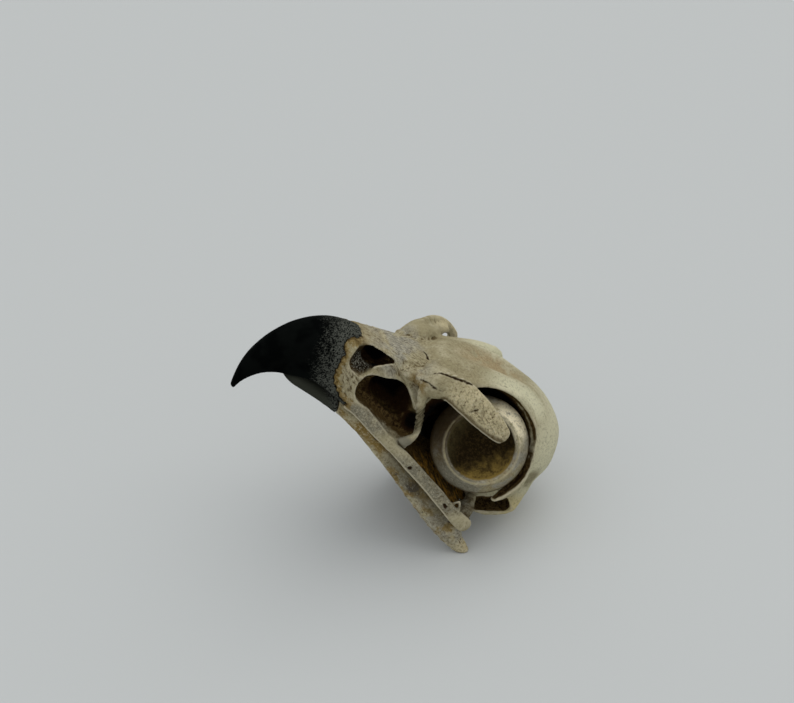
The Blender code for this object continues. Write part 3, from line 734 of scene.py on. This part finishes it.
def without_crumbs(tree, mesh):
    """The mesh without the loose bits that the cuts leave behind."""
    island = tree.nodes.new("GeometryNodeInputMeshIsland")
    size = tree.nodes.new("GeometryNodeAccumulateField")
    size.data_type = "INT"
    size.inputs["Value"].default_value = 1
    small = tree.nodes.new("FunctionNodeCompare")
    small.operation = "LESS_THAN"
    small.inputs["B"].default_value = CRUMB_POINTS
    delete = tree.nodes.new("GeometryNodeDeleteGeometry")
    tree.links.new(island.outputs["Island Index"], size.inputs["Group ID"])
    tree.links.new(size.outputs["Total"], small.inputs["A"])
    tree.links.new(small.outputs["Result"], delete.inputs["Selection"])
    tree.links.new(mesh, delete.inputs["Geometry"])
    return delete.outputs["Geometry"]


def new_tree(name):
    tree = bpy.data.node_groups.new(name, "GeometryNodeTree")
    tree.interface.new_socket("Geometry", in_out="INPUT", socket_type="NodeSocketGeometry")
    tree.interface.new_socket("Geometry", in_out="OUTPUT", socket_type="NodeSocketGeometry")
    point = Field(tree.nodes.new("GeometryNodeInputPosition").outputs[0])
    return tree, point, tree.nodes.new("NodeGroupInput"), tree.nodes.new("NodeGroupOutput")


def surface_tree(name, shape, low, high, side):
    """A node group that turns a distance field into a closed surface, in millimetres."""
    tree, point, _, output = new_tree(name)
    if side < 0:
        low, high = (low[0], -high[1], low[2]), (high[0], -low[1], high[2])
    x, _, z = coordinates(point)
    above_floor = x * math.sin(PITCH) + z * math.cos(PITCH) - FLOOR_HEIGHT
    if side < 0:
        point = vector("MULTIPLY", point, (1.0, -1.0, 1.0))
    distance = maximum(shape(point), -above_floor)
    cube = tree.nodes.new("GeometryNodeVolumeCube")
    put(cube.inputs["Density"], -distance)
    cube.inputs["Background"].default_value = -1.0
    cube.inputs["Min"].default_value = low
    cube.inputs["Max"].default_value = high
    for axis, label in enumerate("XYZ"):
        cube.inputs["Resolution " + label].default_value = round((high[axis] - low[axis]) / VOXEL) + 1
    mesh = tree.nodes.new("GeometryNodeVolumeToMesh")
    mesh.inputs["Threshold"].default_value = 0.0
    tree.links.new(cube.outputs["Volume"], mesh.inputs["Volume"])
    tree.links.new(without_crumbs(tree, mesh.outputs["Mesh"]), output.inputs[0])
    return tree


def finish_tree(name, finish):
    """A node group that raises the relief and keeps what the materials need at each point."""
    tree, point, source, output = new_tree(name)
    rise, depth = finish(point)
    crack = cracks(point)
    rise = rise - ramp(crack, 0.25, -0.1) * CRACK_DEPTH
    geometry = source.outputs[0]
    cheek_line, brow_line = pale_lines(point)
    for label, kind, value in (("skull", "FLOAT_VECTOR", point), ("crack", "FLOAT", crack),
                               ("cheek_line", "FLOAT", cheek_line), ("brow_line", "FLOAT", brow_line),
                               ("depth", "FLOAT", depth), ("border", "FLOAT", bone_side(point))):
        keep = tree.nodes.new("GeometryNodeStoreNamedAttribute")
        keep.data_type = kind
        keep.domain = "POINT"
        keep.inputs["Name"].default_value = label
        put(keep.inputs["Value"], value)
        tree.links.new(geometry, keep.inputs["Geometry"])
        geometry = keep.outputs[0]
    normal = Field(tree.nodes.new("GeometryNodeInputNormal").outputs[0])
    move = tree.nodes.new("GeometryNodeSetPosition")
    put(move.inputs["Offset"], vector("SCALE", normal, None, None, rise))
    tree.links.new(geometry, move.inputs["Geometry"])
    edge = tree.nodes.new("GeometryNodeStoreNamedAttribute")
    edge.data_type = "FLOAT"
    edge.domain = "POINT"
    edge.inputs["Name"].default_value = "edge"
    put(edge.inputs["Value"], convexity(point, normal))
    tree.links.new(move.outputs[0], edge.inputs["Geometry"])
    tree.links.new(edge.outputs[0], output.inputs[0])
    return tree


def convexity(point, normal):
    """How far each point stands out of its neighbourhood: more than 0 on edges, less in creases."""
    blur = new_node("GeometryNodeBlurAttribute", [point])
    blur.data_type = "FLOAT_VECTOR"
    put(blur.inputs["Value"], point)
    blur.inputs["Iterations"].default_value = EDGE_BLUR
    smooth = Field(blur.outputs["Value"])
    return vector("DOT_PRODUCT", vector("SUBTRACT", point, smooth), normal)


def pose_matrix():
    turn = Euler((0.0, -PITCH, math.pi)).to_matrix().to_4x4()
    move = Matrix.Translation((REST_X * MILLIMETRE, 0.0, -FLOOR_HEIGHT * MILLIMETRE))
    return move @ turn @ Matrix.Scale(MILLIMETRE, 4)


def add_piece(name, shape, low, high, finish, material, slot, nodes, side=1):
    """One finished piece in the row frame, riding on the root and standing for its nodes."""
    draft = bpy.data.objects.new(name + "_draft", bpy.data.meshes.new(name + "_draft"))
    bpy.context.scene.collection.objects.link(draft)
    draft.modifiers.new("Surface", "NODES").node_group = surface_tree(name, shape, low, high, side)
    soften = draft.modifiers.new("Soften", "SMOOTH")
    soften.factor = 0.5
    soften.iterations = 2
    draft.modifiers.new("Relief", "NODES").node_group = finish_tree(name + "_finish", finish)
    evaluated = draft.evaluated_get(bpy.context.evaluated_depsgraph_get())
    mesh = bpy.data.meshes.new_from_object(evaluated)
    bpy.data.objects.remove(draft)
    mesh.name = name
    mesh.transform(pose_matrix())
    mesh.shade_smooth()
    mesh.materials.clear()
    mesh.materials.append(material)
    piece = bpy.data.objects.new(name, mesh)
    bpy.context.scene.collection.objects.link(piece)
    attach(piece, "root")
    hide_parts(*nodes)


# ------------------------------
# Materials
# ------------------------------

def new_material(name):
    material = bpy.data.materials.new(name)
    material.use_nodes = True
    tree = material.node_tree
    place = tree.nodes.new("ShaderNodeAttribute")
    place.attribute_name = "skull"
    return material, tree, Field(place.outputs["Vector"])


def openness(tree, reach):
    """1 on open surfaces and 0 where others close in within reach millimetres."""
    node = tree.nodes.new("ShaderNodeAmbientOcclusion")
    node.samples = 8
    node.inputs["Distance"].default_value = reach * MILLIMETRE
    return Field(node.outputs["AO"])


def mixed(mask, below, above):
    values = [mask, below, above]
    node = new_node("ShaderNodeMix", values)
    node.data_type = "RGBA"
    for socket, value in zip((node.inputs[0], node.inputs[6], node.inputs[7]), values):
        if isinstance(value, tuple):
            value = (*value, 1.0)
        put(socket, value)
    return Field(node.outputs[2])


def layered(base, *layers):
    """The base colour under layers of (mask, colour)."""
    for mask, colour in layers:
        base = mixed(mask, base, colour)
    return base


def bumped(tree, height, depth):
    node = tree.nodes.new("ShaderNodeBump")
    node.inputs["Strength"].default_value = 1.0
    node.inputs["Distance"].default_value = depth * MILLIMETRE
    put(node.inputs["Height"], height)
    return Field(node.outputs["Normal"])


def finished(material, tree, colour, roughness, normal, specular, ior=1.3):
    shader = tree.nodes["Principled BSDF"]
    put(shader.inputs["Base Color"], colour)
    put(shader.inputs["Roughness"], roughness)
    put(shader.inputs["Normal"], normal)
    shader.inputs["IOR"].default_value = ior
    shader.inputs["Specular IOR Level"].default_value = specular
    return material


CREAM = (0.50, 0.445, 0.29)
PALE_AND_LIT = (0.76, 0.73, 0.51)
KHAKI = (0.38, 0.33, 0.195)
GREY_BONE = (0.37, 0.35, 0.28)
OCHRE = (0.25, 0.165, 0.045)
TAN = (0.42, 0.325, 0.18)
UMBER = (0.075, 0.046, 0.015)
UMBER_LIGHT = (0.12, 0.078, 0.028)
RUSSET = (0.022, 0.010, 0.0035)
DEEP_SHADE_DARK = (0.0012, 0.0009, 0.0006)
SMUDGE = (0.05, 0.045, 0.042)
PALE_GRAIN_AND_HIGHLIGHT = (0.62, 0.56, 0.40)
PORE_WASH_AND_CREASE_SHADE = (0.12, 0.084, 0.036)
AMBER = (0.48, 0.24, 0.03)
OLIVE = (0.13, 0.105, 0.045)
YELLOW = (0.72, 0.60, 0.29)
BAR_GREY = (0.235, 0.22, 0.165)
LOW_SHADE_KHAKI = (0.25, 0.215, 0.12)
SAND = (0.26, 0.25, 0.20)
DISH_DARK = (0.016, 0.010, 0.004)
DISH_BROWN = (0.016, 0.010, 0.003)
DISH_OCHRE = (0.26, 0.175, 0.045)
HORN_BLACK = (0.0016, 0.002, 0.0019)
HORN_GREY = (0.0035, 0.0042, 0.0038)
HORN_SPECKLE = (0.085, 0.088, 0.074)
CHIN_GREY_AND_SHEEN = (0.044, 0.046, 0.035)
FLOOR_COLOUR = (0.56, 0.575, 0.57)
LIT_BRIGHT_BONE = (0.95, 0.85, 0.60)
WARM_BONE = (0.80, 0.69, 0.42)
SHADE_BROWN = (0.075, 0.062, 0.034)


def kept(tree, name):
    """The value that finish_tree kept under the name."""
    node = tree.nodes.new("ShaderNodeAttribute")
    node.attribute_name = name
    return Field(node.outputs["Fac"])


def recess_layers(tree, point):
    """Brown wash in the hollows with painted shade where other surfaces close in, nearly black painted
    shade in the deepest ones, and dark open cracks.
    """
    depth = kept(tree, "depth") + (noise(point, 1.4, 4.0, 0.65) - 0.5) * 2.2
    speckled = mixed(ramp(noise(point, 0.7, 5.0, 0.8), 0.42, 0.58), UMBER_LIGHT, RUSSET)
    # Painted shade from ambient occlusion first, then brown wash by depth that turns into painted shade,
    # nearly black, in the deepest hollows.
    return [(ramp(openness(tree, 1.4), 0.75, 0.25) * 0.8, UMBER),
            (ramp(depth, 0.3, 1.3), UMBER),
            (ramp(depth, 1.2, 2.4), speckled),
            (ramp(depth, 2.4, 4.2), RUSSET),
            (ramp(depth, 4.2, 6.0), DEEP_SHADE_DARK),
            (ramp(kept(tree, "crack"), 0.3, 0.0) * 0.95, RUSSET)]


def edge_layers(tree, point, strength=1.0):
    """Lighter edges and darker creases: partly worn edges and brown wash, partly painted highlight on the
    edges and painted shade in the creases.
    """
    edge = kept(tree, "edge")
    # This mask scales the painted highlight on the edges as well as the wear.
    worn = (ramp(noise(point, 1.5, 3.0), 0.36, 0.56) * 0.5 + 0.25) * strength
    return [(ramp(edge, 0.04, 0.14) * worn, PALE_GRAIN_AND_HIGHLIGHT), (ramp(edge, -0.02, -0.09) * 0.85, PORE_WASH_AND_CREASE_SHADE)]


def grain_layers(point, strength):
    """Fine speckle: dark wash left in the pores and lighter grains between."""
    pores = noise(point, 0.6, 5.0, 0.8)
    return [(ramp(pores, 0.50, 0.64) * strength, PORE_WASH_AND_CREASE_SHADE),
            (ramp(pores, 0.47, 0.36) * strength * 0.8, PALE_GRAIN_AND_HIGHLIGHT)]


def bone_material():
    material, tree, point = new_material("skull_bone")
    p = mirrored(point)
    mottle = noise(point, 2.2, 4.0, 0.6)
    wrinkles = number("ABSOLUTE", noise(lengthwise(point), 1.3, 2.0, 0.5, 0.6) - 0.5)
    fibres = noise(stretched(p, (0.0, 0.45, 0.35), (3.5, 0.45, 0.6)), 1.0, 3.0, 0.6)
    worn = worn_places(point)
    nasal = spot(p, (32.0, 4.0, 17.0), (12.0, 10.0, 8.0), 0.7)
    crown = spot(point, (-9.0, 0.0, 14.0), (14.0, 24.0, 20.0), 0.5)
    valley = spot(point, (11.0, 0.0, 27.0), (15.0, 6.0, 5.0), 0.7)
    stained = spot(p, (28.0, 10.0, 16.5), (4.0, 3.5, 3.0), 0.6)
    cheek = spot(p, (10.0, 15.5, -1.5), (17.0, 5.0, 5.0), 0.3)
    brow_line, cheek_line, depth = [kept(tree, name) for name in ("brow_line", "cheek_line", "depth")]
    _, side, height = coordinates(point)
    plain_right = ramp(side, -11.0, -5.0) * 0.8 + 0.2
    low_face = ramp(height, 17.0, 14.8) * 0.85 + 0.15
    ragged = kept(tree, "border") + (noise(point, 0.8, 5.0, 0.7) - 0.5) * 4.5
    bar = spot(p, (22.8, 11.6, 9.6), (2.6, 2.4, 6.0), 0.4)
    strands = noise(stretched(p, (0.0, 0.0, 0.0), (0.35, 0.5, 3.0)), 1.0, 3.0, 0.6)
    fibrous = spot(p, (6.0, 11.0, 0.0), (13.0, 7.0, 6.0), 0.5)
    web = noise(stretched(p, (0.0, -0.2, -0.5), (0.7, 3.6, 1.0)), 1.0, 4.0, 0.65)
    rear_wall = spot(p, (24.2, 10.0, 8.0), (2.6, 2.4, 5.0), 0.6)
    ridge = spot(p, (3.0, 8.0, 26.0), (15.0, 7.0, 6.0), 0.7)
    spur = spot(p, (15.5, 17.5, 21.0), (14.0, 8.0, 7.0), 0.5)
    root = spot(p, (32.0, 10.2, 2.8), (9.0, 3.0, 3.2), 0.5)
    bridge = spot(p, (37.0, 7.5, 12.0), (5.0, 3.0, 2.4), 0.7)
    pit = spot(p, (40.4, 6.2, 12.8), (3.6, 4.0, 3.6), 0.4)
    sand = spot(p, (40.6, 6.6, 12.4), (3.0, 3.6, 3.2), 0.4)
    sand_grains = ramp(noise(point, 0.32, 3.0, 0.7), 0.50, 0.58)
    colour = layered(
        mixed(ramp(noise(point, 7.0, 3.0), 0.42, 0.58), CREAM, KHAKI),
        (ramp(mottle, 0.46, 0.62) * 0.6, KHAKI),
        # Partly the bone's pale colour and partly painted light: the crown and the ridge over the eyes are
        # painted paler where light from above falls.
        (maximum(crown, ridge) * 0.95, PALE_AND_LIT),
        (spur * (ramp(mottle, 0.64, 0.46) * 0.35 + 0.35), WARM_BONE),
        (spot(p, (-13.5, 9.0, 4.5), (5.0, 9.0, 6.0)) * 0.9, YELLOW),
        # Painted shade on the lower rear of the braincase's sides.
        (spot(p, (-11.0, 13.4, 12.6), (4.0, 4.0, 4.0), 0.7) * 0.85, LOW_SHADE_KHAKI),
        (valley * ramp(noise(point, 3.0, 3.0), 0.36, 0.52) * 0.9, TAN),
        (ramp(noise(point, 5.0, 3.0), 0.44, 0.56) * nasal, GREY_BONE),
        (maximum(cheek, root) * (ramp(mottle, 0.34, 0.56) * 0.4 + 0.45), BAR_GREY),
        (bridge * 0.6, KHAKI),
        (ramp(fibres, 0.50, 0.66) * maximum(nasal, worn) * plain_right * 0.7, UMBER),
        (ramp(fibres, 0.46, 0.34) * nasal * plain_right * 0.7, PALE_GRAIN_AND_HIGHLIGHT),
        (ramp(wrinkles, 0.03, 0.0) * worn * 0.4, UMBER),
        (ramp(noise(lengthwise(point), 0.42, 4.0, 0.75), 0.50, 0.66) * spur * plain_right * 0.35, UMBER),
        (stained * ramp(mottle, 0.36, 0.52) * 0.8, OCHRE),
        *grain_layers(point, (maximum(maximum(spur, cheek), root) * 0.4 + 0.45) * plain_right),
        *edge_layers(tree, point),
        (ramp(ragged, -1.7, -0.6) * low_face * 0.8, OCHRE),
        (ramp(ragged, -0.7, 0.3) * low_face * 0.85, UMBER),
        (spot(p, (21.8, 12.4, 3.8), (3.4, 2.4, 2.2)) * 0.85, BAR_GREY),
        # Painted shade on the brow bone's bar, which the brow spur overhangs.
        (bar * (ramp(strands, 0.42, 0.56) * 0.35 + 0.6), SHADE_BROWN),
        # Painted shade along the brow spur's lower edge, and painted highlights as pale lines along the
        # lower edges of the brow spurs and cheek bars.
        (ramp(brow_line + (mottle - 0.5) * 2.0, 1.7, 0.8) * 0.75, UMBER),
        (ramp(brow_line, 0.5, 0.2) * 0.8, PALE_GRAIN_AND_HIGHLIGHT),
        (ramp(cheek_line, 0.5, 0.2) * 0.8, PALE_GRAIN_AND_HIGHLIGHT),
        *recess_layers(tree, point),
        # Nearly black painted shade in the pit at the front of the nostril.
        (pit * ramp(depth, 0.3, 0.9) * 0.85, DEEP_SHADE_DARK),
        (sand * ramp(depth, 0.2, 0.6) * sand_grains * 0.9, SAND),
        (rear_wall * ramp(depth, 0.4, 1.0) * 0.8, OLIVE),
        (fibrous * ramp(depth, 1.0, 1.6) * ramp(web, 0.42, 0.66) * 0.7, AMBER),
    )
    relief = noise(point, 0.5, 5.0, 0.75) + fibres * 0.6
    roughness = ramp(mottle, 0.3, 0.7) * 0.15 + 0.6
    return finished(material, tree, colour, roughness, bumped(tree, relief, 0.4), 0.08)


def ring_material():
    material, tree, point = new_material("ring_bone")
    x, _, _ = coordinates(point)
    mottle = noise(point, 1.8, 4.0, 0.65)
    depth = kept(tree, "depth")
    p = mirrored(point)
    top = spot(p, (3.5, 13.0, 22.5), (8.0, 7.0, 7.0), 0.6)
    height, radius, _ = ring_frame(p)
    lip = near(radius - (RING_APERTURE_RADIUS + 0.2), 0.35) * ramp(height, -1.4, -0.6)
    in_dish = ramp(depth, 1.5, 2.5)
    aft = vector("DOT_PRODUCT", vector("SUBTRACT", p, RING_CENTRE), (-0.65, 0.59, -0.47))
    low = ramp(aft + (mottle - 0.5) * 6.0, 1.5, 7.0)
    front = ramp(x, 8.0, 15.0)
    dish = mixed(low, DISH_BROWN, DISH_OCHRE)
    dish = mixed(front * 0.7, dish, OLIVE)
    shade = ramp(x + (mottle - 0.5) * 5.0, 8.0, 15.5)
    colour = layered(
        mixed(ramp(noise(point, 5.0, 3.0), 0.42, 0.58), GREY_BONE, KHAKI),
        (ramp(mottle, 0.50, 0.66) * 0.6, TAN),
        # Painted light: the top of the ring, under the brow spur, is painted bright as if lit.
        (top * ramp(mottle, 0.30, 0.50), LIT_BRIGHT_BONE),
        (spot(p, (8.0, 17.0, 4.0), (10.0, 8.0, 6.5), 0.6), BAR_GREY),
        (spot(p, (-1.5, 15.5, 18.0), (4.0, 6.0, 6.0), 0.7) * 0.6, BAR_GREY),
        *grain_layers(point, 0.6),
        # Painted shade from ambient occlusion, weaker on the ring's top.
        (ramp(openness(tree, 1.4), 0.75, 0.25) * (0.8 - top * 0.8), UMBER),
        (shade * 0.85, UMBER),
        *edge_layers(tree, point, 0.3),
        (lip * ramp(mottle, 0.66, 0.40), KHAKI),
        # Painted shade: the ring's base is darkened so it reads as a gap, and its front side fades towards
        # black.
        (ramp(height + (mottle - 0.5) * 2.0, -3.4, -4.8) * (1.0 - top) * 0.85, UMBER),
        (ramp(x, 12.5, 17.5) * 0.9, RUSSET),
        (ramp(depth + (mottle - 0.5) * 1.5, 0.4, 1.6), dish),
        (in_dish * ramp(noise(point, 2.0, 6.0, 0.8), 0.40, 0.64) * 0.85, DISH_DARK),
        (in_dish * ramp(noise(point, 0.7, 4.0, 0.8), 0.52, 0.40) * 0.25, UMBER_LIGHT),
    )
    relief = noise(point, 0.5, 4.0, 0.7)
    return finished(material, tree, colour, 0.62, bumped(tree, relief, 0.4), 0.08)


def jaw_material():
    material, tree, point = new_material("jaw_bone")
    p = mirrored(point)
    mottle = noise(point, 1.6, 4.0, 0.65)
    ochre = noise(stretched(point, (0.0, 0.25, 0.0), (6.0, 2.0, 2.0)), 1.0, 3.0)
    rear = spot(p, (-1.0, 16.0, -7.0), (13.0, 6.0, 6.0), 0.6)
    under = ramp(coordinates(point)[0], 25.0, 20.0)
    colour = layered(
        mixed(ramp(noise(point, 6.0), 0.42, 0.62), KHAKI, CREAM),
        (spot(p, (13.0, 13.0, -4.5), (12.0, 5.0, 4.0), 0.8) * 0.85, BAR_GREY),
        (ramp(ochre, 0.44, 0.58) * 0.85, OCHRE),
        (rear * ramp(noise(point, 3.0, 2.0), 0.40, 0.56) * 0.8, GREY_BONE),
        (spot(p, (-8.0, 17.6, -9.6), (5.0, 4.0, 4.0)) * 0.5, WARM_BONE),
        (ramp(mottle, 0.56, 0.70) * 0.8, SMUDGE),
        (spot(p, (12.0, 14.0, -4.3), (3.0, 3.0, 2.0)) * ramp(mottle, 0.4, 0.55), SMUDGE),
        (spot(p, (28.0, 9.6, -0.8), (10.0, 3.0, 2.6)) * ramp(mottle, 0.68, 0.46) * 0.95, OCHRE),
        (spot(p, (8.5, 14.7, -3.5), (3.5, 3.0, 1.6)) * ramp(mottle, 0.62, 0.46) * 0.9, OCHRE),
        *grain_layers(point, 0.7),
        *edge_layers(tree, point),
        # Painted shade and a dark painted shadow line where the cheek bar overhangs the jaw, then painted
        # shade from ambient occlusion.
        (ramp(kept(tree, "cheek_line") + (mottle - 0.5) * 5.0, 4.6, 2.0) * under * 0.6, SHADE_BROWN),
        (ramp(kept(tree, "cheek_line"), 1.9, 0.9) * 0.9, RUSSET),
        (ramp(openness(tree, 1.4), 0.70, 0.25) * 0.75, UMBER),
    )
    height = noise(point, 0.5, 4.0, 0.65) + mottle
    return finished(material, tree, colour, 0.62, bumped(tree, height, 0.35), 0.2)


def horn_material():
    material, tree, point = new_material("bill_horn")
    distance = kept(tree, "border")
    worms = noise(stretched(point, (0.0, 0.4, 0.0), (0.26, 0.34, 0.44)), 1.0, 3.0, 0.65, 0.5)
    density = ramp(distance + (noise(point, 3.0) - 0.5) * 5.0, 7.5, 0.5)
    speckle = ramp(worms + density * 0.16, 0.58, 0.68) * density
    chin = spot(point, (43.0, 0.0, -0.8), (9.0, 9.0, 2.8), 0.3)
    colour = layered(
        mixed(ramp(noise(point, 4.0), 0.4, 0.6), HORN_BLACK, HORN_GREY),
        (speckle, HORN_SPECKLE),
        # Partly the lower bill's dark grey and partly a painted sheen on it.
        (chin * 0.9, CHIN_GREY_AND_SHEEN),
    )
    roughness = 0.42 + density * 0.25
    return finished(material, tree, colour, roughness, bumped(tree, worms * density, 0.15), 0.02, 1.12)


def floor_material():
    material = bpy.data.materials.new("pale_floor")
    material.use_nodes = True
    shader = material.node_tree.nodes["Principled BSDF"]
    shader.inputs["Base Color"].default_value = (*FLOOR_COLOUR, 1.0)
    shader.inputs["Roughness"].default_value = 0.85
    return material


# ------------------------------
# Floor, light and camera
# ------------------------------

def add_floor():
    bpy.ops.mesh.primitive_plane_add(size=FLOOR_SIZE, location=(0.0, 0.0, 0.0))
    floor = bpy.context.object
    floor.name = "floor"
    floor.data.materials.append(floor_material())


def add_sun(name, direction, spread_angle, power, colour):
    """A very wide soft light that shines from the direction."""
    light = bpy.data.lights.new(name, "SUN")
    light.energy = power
    light.angle = math.radians(spread_angle)
    light.color = colour
    holder = bpy.data.objects.new(name, light)
    holder.rotation_euler = Vector(direction).to_track_quat("Z", "Y").to_euler()
    bpy.context.scene.collection.objects.link(holder)


def add_world(colour, sideways, overhead):
    """A soft dome of light, brighter overhead than near the horizon."""
    world = bpy.data.worlds.new("studio")
    world.use_nodes = True
    tree = world.node_tree
    place = Field(tree.nodes.new("ShaderNodeTexCoord").outputs["Generated"])
    _, _, height = coordinates(place)
    background = tree.nodes["Background"]
    background.inputs["Color"].default_value = (*colour, 1.0)
    put(background.inputs["Strength"], maximum(height, 0.0) * (overhead - sideways) + sideways)
    bpy.context.scene.world = world


def add_camera():
    camera = bpy.data.cameras.new("photo_view")
    camera.sensor_fit = "HORIZONTAL"
    camera.sensor_width = SENSOR_WIDTH
    camera.lens = SENSOR_WIDTH * FOCAL_PIXELS / IMAGE_WIDTH
    camera.clip_start = 0.01
    holder = bpy.data.objects.new("photo_view", camera)
    holder.rotation_euler = (math.pi / 2 - VIEW_DOWN, 0.0, VIEW_TURN)
    zero = Vector((REST_X, 0.0, -FLOOR_HEIGHT))
    turn = holder.rotation_euler.to_matrix()
    holder.location = (zero + turn @ Vector(VIEW_OFFSET)) * MILLIMETRE
    bpy.context.scene.collection.objects.link(holder)
    bpy.context.scene.camera = holder


# ------------------------------
# The whole model
# ------------------------------

def main():
    bone = bone_material(), "skull_bone"
    ring = ring_material(), "ring_bone"
    jaw = jaw_material(), "jaw_bone"
    horn = horn_material(), "bill_horn"
    outer, edge, inner = [plain_finish(depth) for depth in (ON_THE_OUTLINE, AT_ITS_EDGE, WELL_INSIDE)]
    add_piece("head_bone", head, (-22, -21, -5), (49, 21, 31), head_finish, *bone,
              ["braincase", "upper_jaw"])
    add_piece("bill_sheath", upper_bill, (36, -10, -14), (63, 10, 20), horn_finish, *horn, ["bill_upper"])
    add_piece("jaw_bone_pair", lower_jaw, (-13, -22, -14), (44, 22, 6), outer, *jaw, ["mandible"])
    add_piece("chin_sheath", lower_bill, (34, -9, -5), (54, 9, 6), horn_finish, *horn, ["bill_lower"])
    for suffix, side in (("left", 1), ("right", -1)):
        brow_bone = lacrimal if side > 0 else hooked_lacrimal
        for name, shape, low, high, finish, look, node in (
                ("brow_bone_", brow_bone, (5, 5, 0), (34, 26, 28), outer, bone, "lacrimal_"),
                ("cheek_bar_", cheek_bar, (-5, 9, -7), (25, 22, 5), outer, bone, "jugal_"),
                ("jaw_hanger_", quadrate, (-9, 7, -8), (6, 20, 8), edge, bone, "quadrate_"),
                ("palate_strut_", pterygoid, (-3, 0, -5), (12, 13, 5), inner, bone, "pterygoid_"),
                ("palate_plate_", palatine, (-6, 0, -5), (39, 17, 8), inner, bone, "palatine_"),
                ("eye_ring_", eye_ring, (-6, 2, -1), (22, 24, 29), ring_finish, ring, "sclerotic_ring_")):
            add_piece(name + suffix, shape, low, high, finish, *look, [node + suffix], side)
    add_floor()
    add_world(WORLD_COLOUR, SIDEWAYS_LIGHT, OVERHEAD_LIGHT)
    for light in SUNS:
        add_sun(*light)
    add_camera()
    bpy.context.scene.view_settings.view_transform = "Standard"


main()
